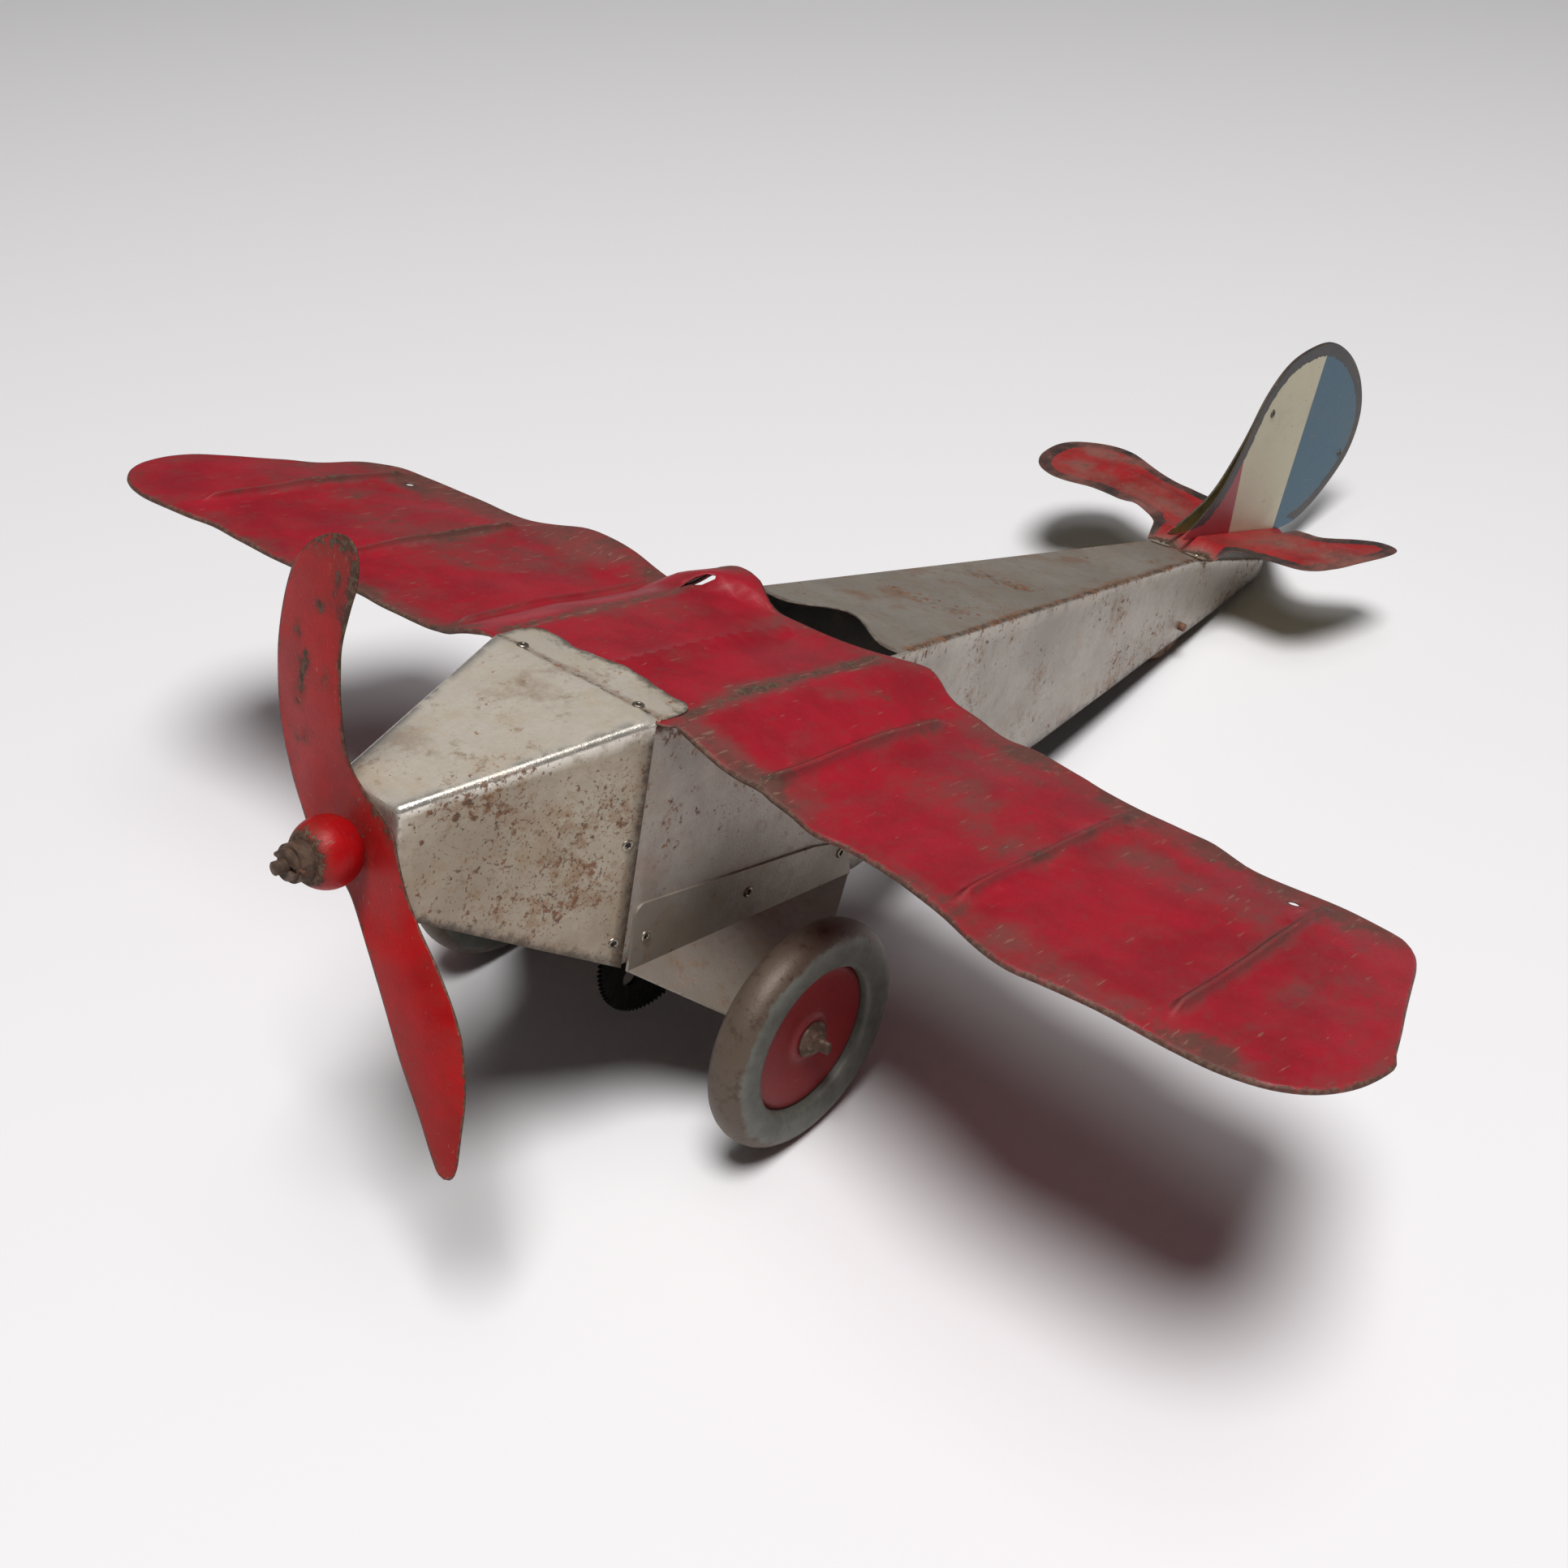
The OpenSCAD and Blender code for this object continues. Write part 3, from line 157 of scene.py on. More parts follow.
# Adds a node with its settings and inputs, and gives the wanted output
def addNode(tree, kind, inputs=None, out=0, **settings):
    node = tree.nodes.new(kind)
    for key, value in settings.items():
        setattr(node, key, value)
    feed(tree, node, inputs or {})
    return node.outputs[out]


def newMaterial(name):
    material = bpy.data.materials.new(name)
    material.use_nodes = True
    return material, material.node_tree, material.node_tree.nodes["Principled BSDF"]


# light and floor: a soft overhead light in front and a broad weaker one behind, on white paper
studio = {"paper": "#ebe9ea", "sky": "#f4f6fa", "skyStrength": 0.06, "aim": (0, 0, 0.05),
          "lights": [("keySoftbox", 58, 0.95, (0.5, -0.64, 2.4)),
                     ("rearDiffuser", 10, 1.3, (0.25, -0.02, 2.4))]}


def makeStudio():
    material, tree, bsdf = newMaterial("matt white background paper")
    feed(tree, bsdf, {"Base Color": studio["paper"], "Roughness": 0.9, "Specular IOR Level": 0.15})
    bm = bmesh.new()
    bmesh.ops.create_grid(bm, x_segments=1, y_segments=1, size=6)
    mesh = toMesh(bm, "studioFloor")
    mesh.materials.append(material)
    addObject("studioFloor", mesh)
    world = bpy.data.worlds.new("studioLight")
    world.use_nodes = True
    feed(world.node_tree, world.node_tree.nodes["Background"],
         {"Color": studio["sky"], "Strength": studio["skyStrength"]})
    bpy.context.scene.world = world
    for name, power, size, place in studio["lights"]:
        data = bpy.data.lights.new(name, "AREA")
        data.shape = "DISK"
        data.size = size
        data.energy = power
        light = addObject(name, data)
        light.location = place
        aim = Vector(studio["aim"]) - Vector(place)
        light.rotation_euler = aim.to_track_quat("-Z", "Y").to_euler()
    bpy.context.scene.view_settings.view_transform = "Standard"


makeStudio()
print("camera, light and floor set")


# materials
# Object coordinates turned to the toy's level frame, in millimetres
def toyCoords(tree):
    place = addNode(tree, "ShaderNodeTexCoord", out="Object")
    return addNode(tree, "ShaderNodeMapping",
                   {"Vector": place, "Location": origin, "Rotation": (-pitch, 0, 0),
                    "Scale": (mm, mm, mm)}, vector_type="TEXTURE")


# Soft-edged blotches about sizeMm across, from 0 to most; shift moves noise by another pattern
def blotches(tree, at, sizeMm, low, high, most=1, detail=4, rough=0.6, shift=None):
    value = addNode(tree, "ShaderNodeTexNoise",
                    {"Vector": at, "Scale": 1 / sizeMm, "Detail": detail, "Roughness": rough})
    if shift:
        value = weighted(tree, [(value, 1)] + shift)
    return addNode(tree, "ShaderNodeMapRange", {0: value, 1: low, 2: high, 4: most},
                   interpolation_type="SMOOTHSTEP")


# A new material, with the toy's coordinates and the blotches on them ready to use
def toyMaterial(name):
    material, tree, bsdf = newMaterial(name)
    at = toyCoords(tree)
    return material, tree, bsdf, at, partial(blotches, tree, at)


# Sum of patterns, each with its weight
def weighted(tree, terms, start=0):
    total = start
    for value, weight in terms:
        total = addNode(tree, "ShaderNodeMath", {0: value, 1: weight, 2: total},
                        operation="MULTIPLY_ADD")
    return total


# Colour built up in layers, each a mask and a colour
def layered(tree, tone, layers):
    for mask, colour in layers:
        tone = addNode(tree, "ShaderNodeMix", {0: mask, 6: tone, 7: colour}, out=2,
                       data_type="RGBA")
    return tone


# Sets a surface's colour, its weighted metallic share and roughness, and a bump bumpMm deep
def setSurface(tree, bsdf, tone, metallic, rough, height, bumpMm):
    normal = addNode(tree, "ShaderNodeBump",
                     {"Height": weighted(tree, height), "Distance": bumpMm * mm})
    feed(tree, bsdf, {"Base Color": tone, "Metallic": weighted(tree, *metallic),
                      "Roughness": weighted(tree, *rough), "Normal": normal})


# What a vertex tells the materials: edge is 1 at a sheet's edge and 0 from 12 mm inwards, fold is
# 1 on a fold, rib or tread, and scuff grows with how rubbed or dirty a place is
sheetLayers = ("edge", "fold", "scuff")
edgeReach = 12


def closeness(distance):
    return max(0, 1 - max(0, distance) / edgeReach)


# Tinplate, rolled and folded: a pale grey metal gone dull, with brown rust in specks
tinKeys = ("name", "stain", "bright", "dull", "warm", "specks", "smear", "gleam", "rough", "metal")
tinLooks = {part: dict(zip(tinKeys, row)) for part, *row in (
    ("body", "old tinplate, rolled and folded",
     "#86776a", "#b3aba2", "#9b938a", "#a2917c", 0.05, 0.3, 0.25, 0.42, 0.45),
    ("top", "old tinplate, stained top",
     "#75685a", "#a1988d", "#8c8378", "#957f68", 0.035, 0.8, 0, 0.45, 0.45),
    ("cowl", "old tinplate, rust speckled",
     "#83735f", "#b3a998", "#9a8d7b", "#9f845f", 0.095, 0.5, 1, 0.38, 0.5),
    # The cowl's upward faces take this lighter copy of the tin: painted light from above, with
    # fewer rust specks
    ("cowlTop", "old tinplate, bright top",
     "#a8977f", "#ded5c6", "#cbbfae", "#cbae86", 0.03, 0.55, 1, 0.36, 0.45),
    ("bracket", "dull steel sheet, pressed",
     "#7a6f63", "#aaa196", "#8d857a", "#97866c", 0.02, 0.2, 0, 0.42, 0.5),
    # Inner faces of the body: dust, and a painted shade for the dark inside
    ("inside", "old tinplate, dark with dust inside",
     "#3d362e", "#5f584f", "#4c453d", "#574838", 0.06, 0.5, 0, 0.6, 0.2),
    ("lacquer", "tinplate under yellowed lacquer",
     "#6b5c38", "#9a8a52", "#7c7048", "#8a6f3c", 0, 0, 0, 0.4, 0.4))}
tinWear = {"rust": "#7c5033", "oldRust": "#503522", "halo": "#8f6b49", "smear": "#8a5b3a",
           "grime": "#4d3f33", "gleam": "#e9e2d6", "creaseDirtAndShade": "#4a3527", "bumpMm": 0.05}


def makeTin(look):
    material, tree, bsdf, _, spots = toyMaterial(look["name"])
    edge, fold, scuff = (addNode(tree, "ShaderNodeAttribute", out="Fac", attribute_name=layer)
                         for layer in sheetLayers)
    fine = spots(0.8, 0.35, 0.65, detail=3, rough=0.7)
    cloud = spots(34, 0.35, 0.68, detail=5)
    spangle = spots(2.2, 0.3, 0.7, 0.55, detail=7, rough=0.75)
    smudge = spots(9, 0.54, 0.72, 0.5, detail=8, rough=0.72)
    warmth = spots(15, 0.48, 0.72, 0.6, detail=6, rough=0.65)
    field = spots(24, 0.3, 0.75, detail=2)
    specks = spots(2.4, 0.74 - look["specks"], 0.84 - look["specks"], 0.9, detail=4, rough=0.6,
                   shift=[(field, 0.14), (scuff, 0.16)])
    pits = spots(0.9, 0.74 - look["specks"], 0.82 - look["specks"], 0.75, detail=2,
                 shift=[(field, 0.1)])
    rust = addNode(tree, "ShaderNodeMath", {0: specks, 1: pits}, operation="MAXIMUM")
    smear = spots(20, 0.56, 0.7, look["smear"] * 0.6, detail=7, rough=0.66, shift=[(scuff, 0.25)])
    rustTone = layered(tree, tinWear["rust"], [(spots(1.6, 0.45, 0.62), tinWear["oldRust"])])
    halo = spots(4.5, 0.66 - look["specks"], 0.8 - look["specks"], 0.5, detail=6, rough=0.7,
                 shift=[(field, 0.12)])
    grime = spots(3.2, 0.92, 1.3, 0.85, detail=5, rough=0.7, shift=[(edge, 0.72)])
    tone = layered(tree, look["bright"], [
        (cloud, look["dull"]), (warmth, look["warm"]), (spangle, look["dull"]),
        (smudge, look["stain"]), (halo, tinWear["halo"]), (smear, tinWear["smear"]),
        (grime, tinWear["grime"])])
    # Dark brown in creases: dirt on the body, and painted shade in the valley of the cowl's lip
    creaseDirtAndShade = spots(2.6, 0.78, 1.1, 0.9, detail=6, rough=0.7, shift=[(scuff, 0.5)])
    # Gleam along folds and the nose: tin rubbed bright there, with a painted highlight in pale
    # colour
    gleam = addNode(tree, "ShaderNodeMath", {0: fold, 1: spots(5, 0.3, 0.55, look["gleam"])},
                    operation="MULTIPLY")
    tone = layered(tree, tone, [(gleam, tinWear["gleam"]), (creaseDirtAndShade, tinWear["creaseDirtAndShade"]),
                                (rust, rustTone)])
    setSurface(tree, bsdf, tone, ([(rust, -0.5), (grime, -0.3), (gleam, 0.35)], look["metal"]),
               ([(cloud, 0.1), (rust, 0.3), (gleam, -0.14)], look["rough"]),
               [(fine, 0.4), (rust, 0.8)], tinWear["bumpMm"])
    return material


# Enamel on tinplate: deep red with a soft gloss, under dust, and rubbed to brown metal at edges
enamelKeys = ("name", "colour", "deep", "dust", "grime", "dusty", "grimy", "chips", "rough",
              "gloss", "edgeWear", "border")
enamelLooks = {part: dict(zip(enamelKeys, row)) for part, *row in (
    ("wing", "dark red enamel, dusty and rubbed", "#9f1627", "#8a1422", "#6c3a34", "#4f382e",
     0.85, 0.62, 0, 0.4, 0.5, 0.85, None),
    ("stabiliser", "red enamel with a black border", "#a02326", "#80201f", "#865249", "#5c443c",
     0.95, 0.6, 0.04, 0.42, 0.4, 0.3, "#2e2d2b"),
    ("fin", "red, cream and blue enamel", "#a82420", "#86201d", "#8c7d68", "#4c4238",
     0.25, 0.35, 0, 0.42, 0.4, 0.3, "#2e2d2e"),
    ("propeller", "bright red enamel, chipped", "#aa0c11", "#900a0e", "#6d3a30", "#3b2a25",
     0.4, 0.8, 0.07, 0.36, 0.2, 0.95, None),
    # The disc's red enamel is set darker as a painted shade from the wing above it
    ("disc", "red enamel, rubbed wheel disc", "#84161b", "#7c1418", "#80483f", "#4c332c",
     0.3, 0.3, -0.06, 0.4, 0.4, 0.35, None))}
enamelWear = {"scratch": "#8a6a58", "speck": "#4a3026", "bare": "#513d32", "barePale": "#6b5647",
              "stripped": "#988c7c", "bumpMm": 0.06}


# Narrow pressed ribs along the chord: 1 on their crests and 0 from widthMm to either side
def pressedRibs(tree, at, widthMm, ribs):
    parts = addNode(tree, "ShaderNodeSeparateXYZ", {0: at}).node
    out = addNode(tree, "ShaderNodeMath", {0: parts.outputs["X"]}, operation="ABSOLUTE")
    total = 0
    for place in ribs["places"]:
        crest = addNode(tree, "ShaderNodeMath", {0: out, 1: place}, operation="SUBTRACT")
        crest = addNode(tree, "ShaderNodeMath", {0: crest}, operation="ABSOLUTE")
        crest = addNode(tree, "ShaderNodeMapRange", {0: crest, 1: widthMm, 2: 0},
                        interpolation_type="SMOOTHSTEP")
        total = addNode(tree, "ShaderNodeMath", {0: total, 1: crest}, operation="MAXIMUM")
    for low, high in (ribs["front"], ribs["rear"]):
        inside = addNode(tree, "ShaderNodeMapRange", {0: parts.outputs["Y"], 1: low, 2: high},
                         interpolation_type="SMOOTHSTEP")
        total = addNode(tree, "ShaderNodeMath", {0: total, 1: inside}, operation="MULTIPLY")
    return total


def makeEnamel(look, paint=None, ribs=None):
    material, tree, bsdf, at, spots = toyMaterial(look["name"])
    edge, fold, scuff = (addNode(tree, "ShaderNodeAttribute", out="Fac", attribute_name=layer)
                         for layer in sheetLayers)
    crest, beside = (pressedRibs(tree, at, ribs[key], ribs) if ribs else 0
                     for key in ("crestMm", "besideMm"))
    fine = spots(0.8, 0.35, 0.65, detail=3, rough=0.7)
    cloud = spots(18, 0.35, 0.68, detail=6, rough=0.62)
    streaky = addNode(tree, "ShaderNodeMapping", {"Vector": at, "Scale": (1, 0.55, 1),
                                                  "Rotation": (0, 0, 0.3)})
    film = blotches(tree, streaky, 20, 0.46, 0.84, look["dusty"], detail=10, rough=0.68,
                    shift=[(scuff, 0.34), (fold, 0.05), (edge, 0.12), (beside, 0.12)])
    grime = blotches(tree, streaky, 9, 0.63, 0.76, look["grimy"], detail=10, rough=0.72,
                     shift=[(film, 0.12), (scuff, 0.1), (edge, 0.05), (beside, 0.05)])
    veil = blotches(tree, streaky, 3.5, 0.5, 0.78, look["dusty"] * 0.75, detail=10,
                    rough=0.78, shift=[(film, 0.1), (beside, 0.04)])
    hairline = addNode(tree, "ShaderNodeMapping", {"Vector": at, "Scale": (0.9, 0.12, 0.5),
                                                   "Rotation": (0, 0, 0.35)})
    scratch = blotches(tree, hairline, 0.9, 0.69, 0.76, 0.5, detail=2,
                       shift=[(film, 0.06), (scuff, 0.06)])
    speck = spots(1.3, 0.7, 0.76, 0.7, detail=3, shift=[(film, 0.08)])
    chip = spots(2.6, 0.86 - look["chips"], 0.89 - look["chips"], detail=7, rough=0.7,
                 shift=[(grime, 0.06), (scuff, 0.33), (fold, 0.06), (crest, 0.17)])
    freckles = spots(1.8, 1.06 - look["edgeWear"] * 0.1, 1.14 - look["edgeWear"] * 0.1, 0.8,
                     detail=6, rough=0.7, shift=[(edge, 0.42)])
    hem = spots(3, 5.18, 5.42, look["edgeWear"], detail=5, shift=[(edge, 5)])
    rubbed = addNode(tree, "ShaderNodeMath", {0: hem, 1: freckles}, operation="MAXIMUM")
    bare = addNode(tree, "ShaderNodeMath", {0: chip, 1: rubbed}, operation="MAXIMUM")
    tone = (paint(tree, at) if paint
            else layered(tree, look["colour"], [(cloud, look["deep"])]))
    if look["border"]:
        band = spots(3, 3.3, 3.44, detail=3, shift=[(edge, 5)])
        tone = layered(tree, tone, [(band, look["border"])])
    pale = spots(1.3, 0.45, 0.6)
    metalTone = layered(tree, enamelWear["bare"], [(pale, enamelWear["barePale"])])
    stripped = addNode(tree, "ShaderNodeMapRange", {0: scuff, 1: 1.6, 2: 1.9})
    tone = layered(tree, tone, [
        (film, look["dust"]), (veil, look["dust"]), (grime, look["grime"]),
        (scratch, enamelWear["scratch"]), (speck, enamelWear["speck"]), (bare, metalTone),
        (stripped, enamelWear["stripped"])])
    setSurface(tree, bsdf, tone, ([(bare, 0.35)],),
               ([(film, 0.3), (bare, 0.2), (fine, 0.06)], look["rough"]),
               [(fine, 0.3), (bare, -1), (film, 0.3), (crest, 12)], enamelWear["bumpMm"])
    feed(tree, bsdf, {"IOR": 1.5, "Specular IOR Level": look["gloss"]})
    return material


# The fin's three colours meet on two slanted lines (y, z, y, z), inside a black border
finStripes = {"red": "#a03038", "cream": "#c9c1a4", "blue": "#305d73", "blendMm": 0.3,
              "firstLine": (306, 75.5, 300.8, 111), "secondLine": (347, 71.4, 351.5, 140)}


def finPaint(tree, at):
    parts = addNode(tree, "ShaderNodeSeparateXYZ", {0: at}, out="Y").node
    tone = finStripes["red"]
    for line, colour in (("firstLine", "cream"), ("secondLine", "blue")):
        y0, z0, y1, z1 = finStripes[line]
        slope = (y1 - y0) / (z1 - z0)
        past = weighted(tree, [(parts.outputs["Y"], 1), (parts.outputs["Z"], -slope)],
                        z0 * slope - y0)
        share = addNode(tree, "ShaderNodeMapRange",
                        {0: past, 1: -finStripes["blendMm"], 2: finStripes["blendMm"]})
        tone = layered(tree, tone, [(share, finStripes[colour])])
    return tone


# Machined or rolled metal of the motor, shafts and wheels, oiled or tarnished, and the turned
# wood of the roller. Each row has the colour, the tarnish, the roughness, how far it is
# tarnished, and the metallic share
metalLooks = {
    "brass": ("dull brass, blanked and hobbed", "#a8894c", "#5f4a2c", 0.34, 0, 1),
    "dark steel": ("oiled mild steel, blanked", "#5b5854", "#38322d", 0.38, 0.05, 1),
    "black gear": ("blackened steel gear", "#1d1c1a", "#120f0c", 0.5, 0.1, 0.7),
    "spring": ("blued spring steel, rolled", "#454d60", "#2f3038", 0.3, 0, 1),
    "brown steel": ("brown rusted steel, turned", "#6a5446", "#513e32", 0.5, 0.1, 0.35),
    "rust": ("orange rusted steel pin", "#7d5640", "#5d3e2c", 0.6, 0.1, 0.2),
    "eyelet": ("tarnished steel eyelets", "#a59b8c", "#4a3c30", 0.34, 0, 0.9),
    "key": ("worn nickel plated steel key", "#b4aea4", "#6f5d4a", 0.3, 0, 1),
    "roller": ("dark turned beech roller", "#6b4a30", "#4a3120", 0.6, 0, 0)}
metalWear = {"dirtAndShade": "#0d0b0a", "bumpMm": 0.008}


def makeMetal(name, colour, tarnish, rough, tarnished, metallic):
    material, tree, bsdf, _, spots = toyMaterial(name)
    fine = spots(0.5, 0.35, 0.65, detail=3)
    stain = spots(3, 0.5 - tarnished, 0.66 - tarnished, detail=5)
    # The scuff layer, set only on the eyelets, darkens to near black: dirt and painted shade in
    # their hollows and under their flanges
    grime = addNode(tree, "ShaderNodeAttribute", out="Fac", attribute_name="scuff")
    tone = layered(tree, colour, [(stain, tarnish), (grime, metalWear["dirtAndShade"])])
    setSurface(tree, bsdf, tone, ([(grime, -metallic)], metallic), ([(stain, 0.2)], rough),
               [(fine, 1), (stain, 0.4)], metalWear["bumpMm"])
    return material


# Pressed wheel rim: grey-green on its flat side, rubbed to bronze brown with rust on the tread
rimLook = {"side": "#696a62", "sideDark": "#53544c", "tread": "#5d4f43", "treadDark": "#443328",
           "rust": "#4a382b", "rough": 0.52, "metal": 0.15, "bumpMm": 0.05}


def makeRimMetal():
    material, tree, bsdf, _, spots = toyMaterial("zinc grey pressed tin, rusted tread")
    tread = addNode(tree, "ShaderNodeAttribute", out="Fac", attribute_name="fold")
    fine = spots(0.7, 0.35, 0.65, detail=3, rough=0.7)
    cloud = spots(9, 0.35, 0.7, detail=6, rough=0.66)
    worn = spots(6, 0.62, 0.86, detail=7, rough=0.66, shift=[(tread, 0.45)])
    rust = spots(2.2, 0.64, 0.7, 0.9, detail=6, rough=0.66)
    dark = spots(4, 0.5, 0.66, 0.7, detail=6, rough=0.7)
    both = addNode(tree, "ShaderNodeMath", {0: dark, 1: worn}, operation="MULTIPLY")
    tone = layered(tree, rimLook["side"], [
        (cloud, rimLook["sideDark"]), (worn, rimLook["tread"]), (both, rimLook["treadDark"]),
        (rust, rimLook["rust"])])
    setSurface(tree, bsdf, tone, ([(worn, 0.15)], rimLook["metal"]),
               ([(rust, 0.2)], rimLook["rough"]), [(fine, 0.5), (rust, 0.6)], rimLook["bumpMm"])
    return material


tins = {part: makeTin(look) for part, look in tinLooks.items()}
metals = {look: makeMetal(*row) for look, row in metalLooks.items()}
rimTin = makeRimMetal()
wingRibs = {"places": (53, 111, 164), "front": (-34, -27), "rear": (46, 39), "crestMm": 1.7,
            "besideMm": 5}
enamels = {part: makeEnamel(look, finPaint if part == "fin" else None,
                            wingRibs if part == "wing" else None)
           for part, look in enamelLooks.items()}
nodeFinish = {node: finish for finish, nodes in (
    (tins["bracket"], ("port_gear_bracket", "starboard_gear_bracket")),
    (metals["dark steel"], ("port_motor_plate", "starboard_motor_plate", "motor_pillars",
                            "spring_post", "shaft_bridge", "layshaft", "winding_click",
                            "winding_arbor", "crown_arbor")),
    (metals["brown steel"], ("propeller_shaft", "shaft_collar", "axle_spacers")),
    (metals["rust"], ("tail_pin", "shaft_end_pin")), (metals["spring"], ("mainspring",)),
    (metals["black gear"], ("axle_gear",)), (metals["key"], ("winding_key",)),
    (metals["roller"], ("tail_roller",))) for node in nodes}


# CAD pieces keep their form, with smooth round faces and sharp corners. Gears are brass
def finishNodes(sharpest=35):
    for name, obj in frame["nodes"].items():
        obj.data.materials.clear()
        obj.data.materials.append(nodeFinish.get(name, metals["brass"]))
        obj.data.shade_smooth()
        obj.data.set_sharp_from_angle(angle=radians(sharpest))


finishNodes()
print("materials made")


# building sheets
# Closed curve through the points, with a vertex every step
def smoothLoop(points, step):
    out = []
    n = len(points)
    for i in range(n):
        p = [Vector(points[(i + k - 1) % n]) for k in range(4)]
        count = max(1, round((p[2] - p[1]).length / step))
        for k in range(count):
            u = k / count
            out.append(0.5 * (2 * p[1] + (p[2] - p[0]) * u
                              + (2 * p[0] - 5 * p[1] + 4 * p[2] - p[3]) * u * u
                              + (3 * p[1] - p[0] - 3 * p[2] + p[3]) * u ** 3))
    if sum(a.x * b.y - b.x * a.y for a, b in zip(out, out[1:] + out[:1])) < 0:
        out.reverse()
    return out


# The anticlockwise loop moved inwards
def insetLoop(loop, distance):
    out = []
    for i, p in enumerate(loop):
        along = (loop[(i + 1) % len(loop)] - loop[i - 1]).normalized()
        out.append(p + Vector((-along.y, along.x)) * distance)
    return out


def isInside(loop, x, y):
    hit = False
    for a, b in zip(loop, loop[1:] + loop[:1]):
        if (a.y > y) != (b.y > y) and x < (b.x - a.x) * (y - a.y) / (b.y - a.y) + a.x:
            hit = not hit
    return hit


# The way to the point from the nearest place on the stretch between a and b
def offStretch(a, b, point):
    run = b - a
    share = clamp((point - a).dot(run) / max(run.length_squared, 1e-9))
    return point - (a + run * share)


# How near a point is to listed marks, each a stretch (x0, y0, x1, y1, reach, strength)
def nearMarks(marks, x, y):
    most = 0
    for x0, y0, x1, y1, reach, strength in marks:
        off = offStretch(Vector((x0, y0)), Vector((x1, y1)), Vector((x, y))).length
        most = max(most, strength * ease(1 - off / reach))
    return most


def startMesh():
    bm = bmesh.new()
    for layer in sheetLayers:
        bm.verts.layers.float.new(layer)
    return bm


def addVert(bm, place, *layers):
    v = bm.verts.new(toRow(place))
    for layer, value in zip(sheetLayers, layers):
        v[bm.verts.layers.float[layer]] = value
    return v


# Faces between rows of vertices, one row after another
def joinRows(bm, rows, closed=False, flip=False, material=0):
    for a, b in zip(rows, rows[1:]):
        n = len(a)
        for i in range(n if closed else n - 1):
            quad = [a[i], a[(i + 1) % n], b[(i + 1) % n], b[i]]
            face = bm.faces.new(quad[::-1] if flip else quad)
            face.material_index = material


# Half of a folded channel's cross section, from the middle of the top out to the lower edge, with
# the distance to the fold. shrink rounds it in at the nose
def channelHalf(piece, w, top, low, shrink=0):
    r, n, m = piece["radius"], piece["topSteps"], piece["sideSteps"]
    points = [((w - r) * i / n, top - shrink, (w - r) * (n - i) / n) for i in range(n + 1)]
    points += [(w - r + (r - shrink) * sin(a), top - r + (r - shrink) * cos(a), 0)
               for a in (radians(d) for d in (22, 45, 68))]
    points += [(w - shrink, lerp(top - r, low + shrink, i / m), (top - r - low) * i / m)
               for i in range(m + 1)]
    return points


# Makes the piece, gives a sheet its thickness, and sets it on its body for the nodes it shows
def makeObject(name, bm, materials, body, nodes, thickness=0, innerSlot=0):
    bmesh.ops.delete(bm, geom=[v for v in bm.verts if not v.link_faces], context="VERTS")
    mesh = toMesh(bm, name)
    for material in materials:
        mesh.materials.append(material)
    obj = addObject(name, mesh)
    if thickness:
        modifier = obj.modifiers.new("thickness", "SOLIDIFY")
        modifier.thickness = thickness * mm
        modifier.offset = -1
        modifier.material_offset = innerSlot
    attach(obj, body)
    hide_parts(*nodes)


# Clearances of the inner grid points, in grid steps, and the gap between its rows
gridClear = {"edge": 0.55, "hole": 0.4, "column": 0.3, "slit": 0.45, "rowGap": 0.87}


def noLayer(u, v):
    return 0


def fullShare(u, v):
    return 1


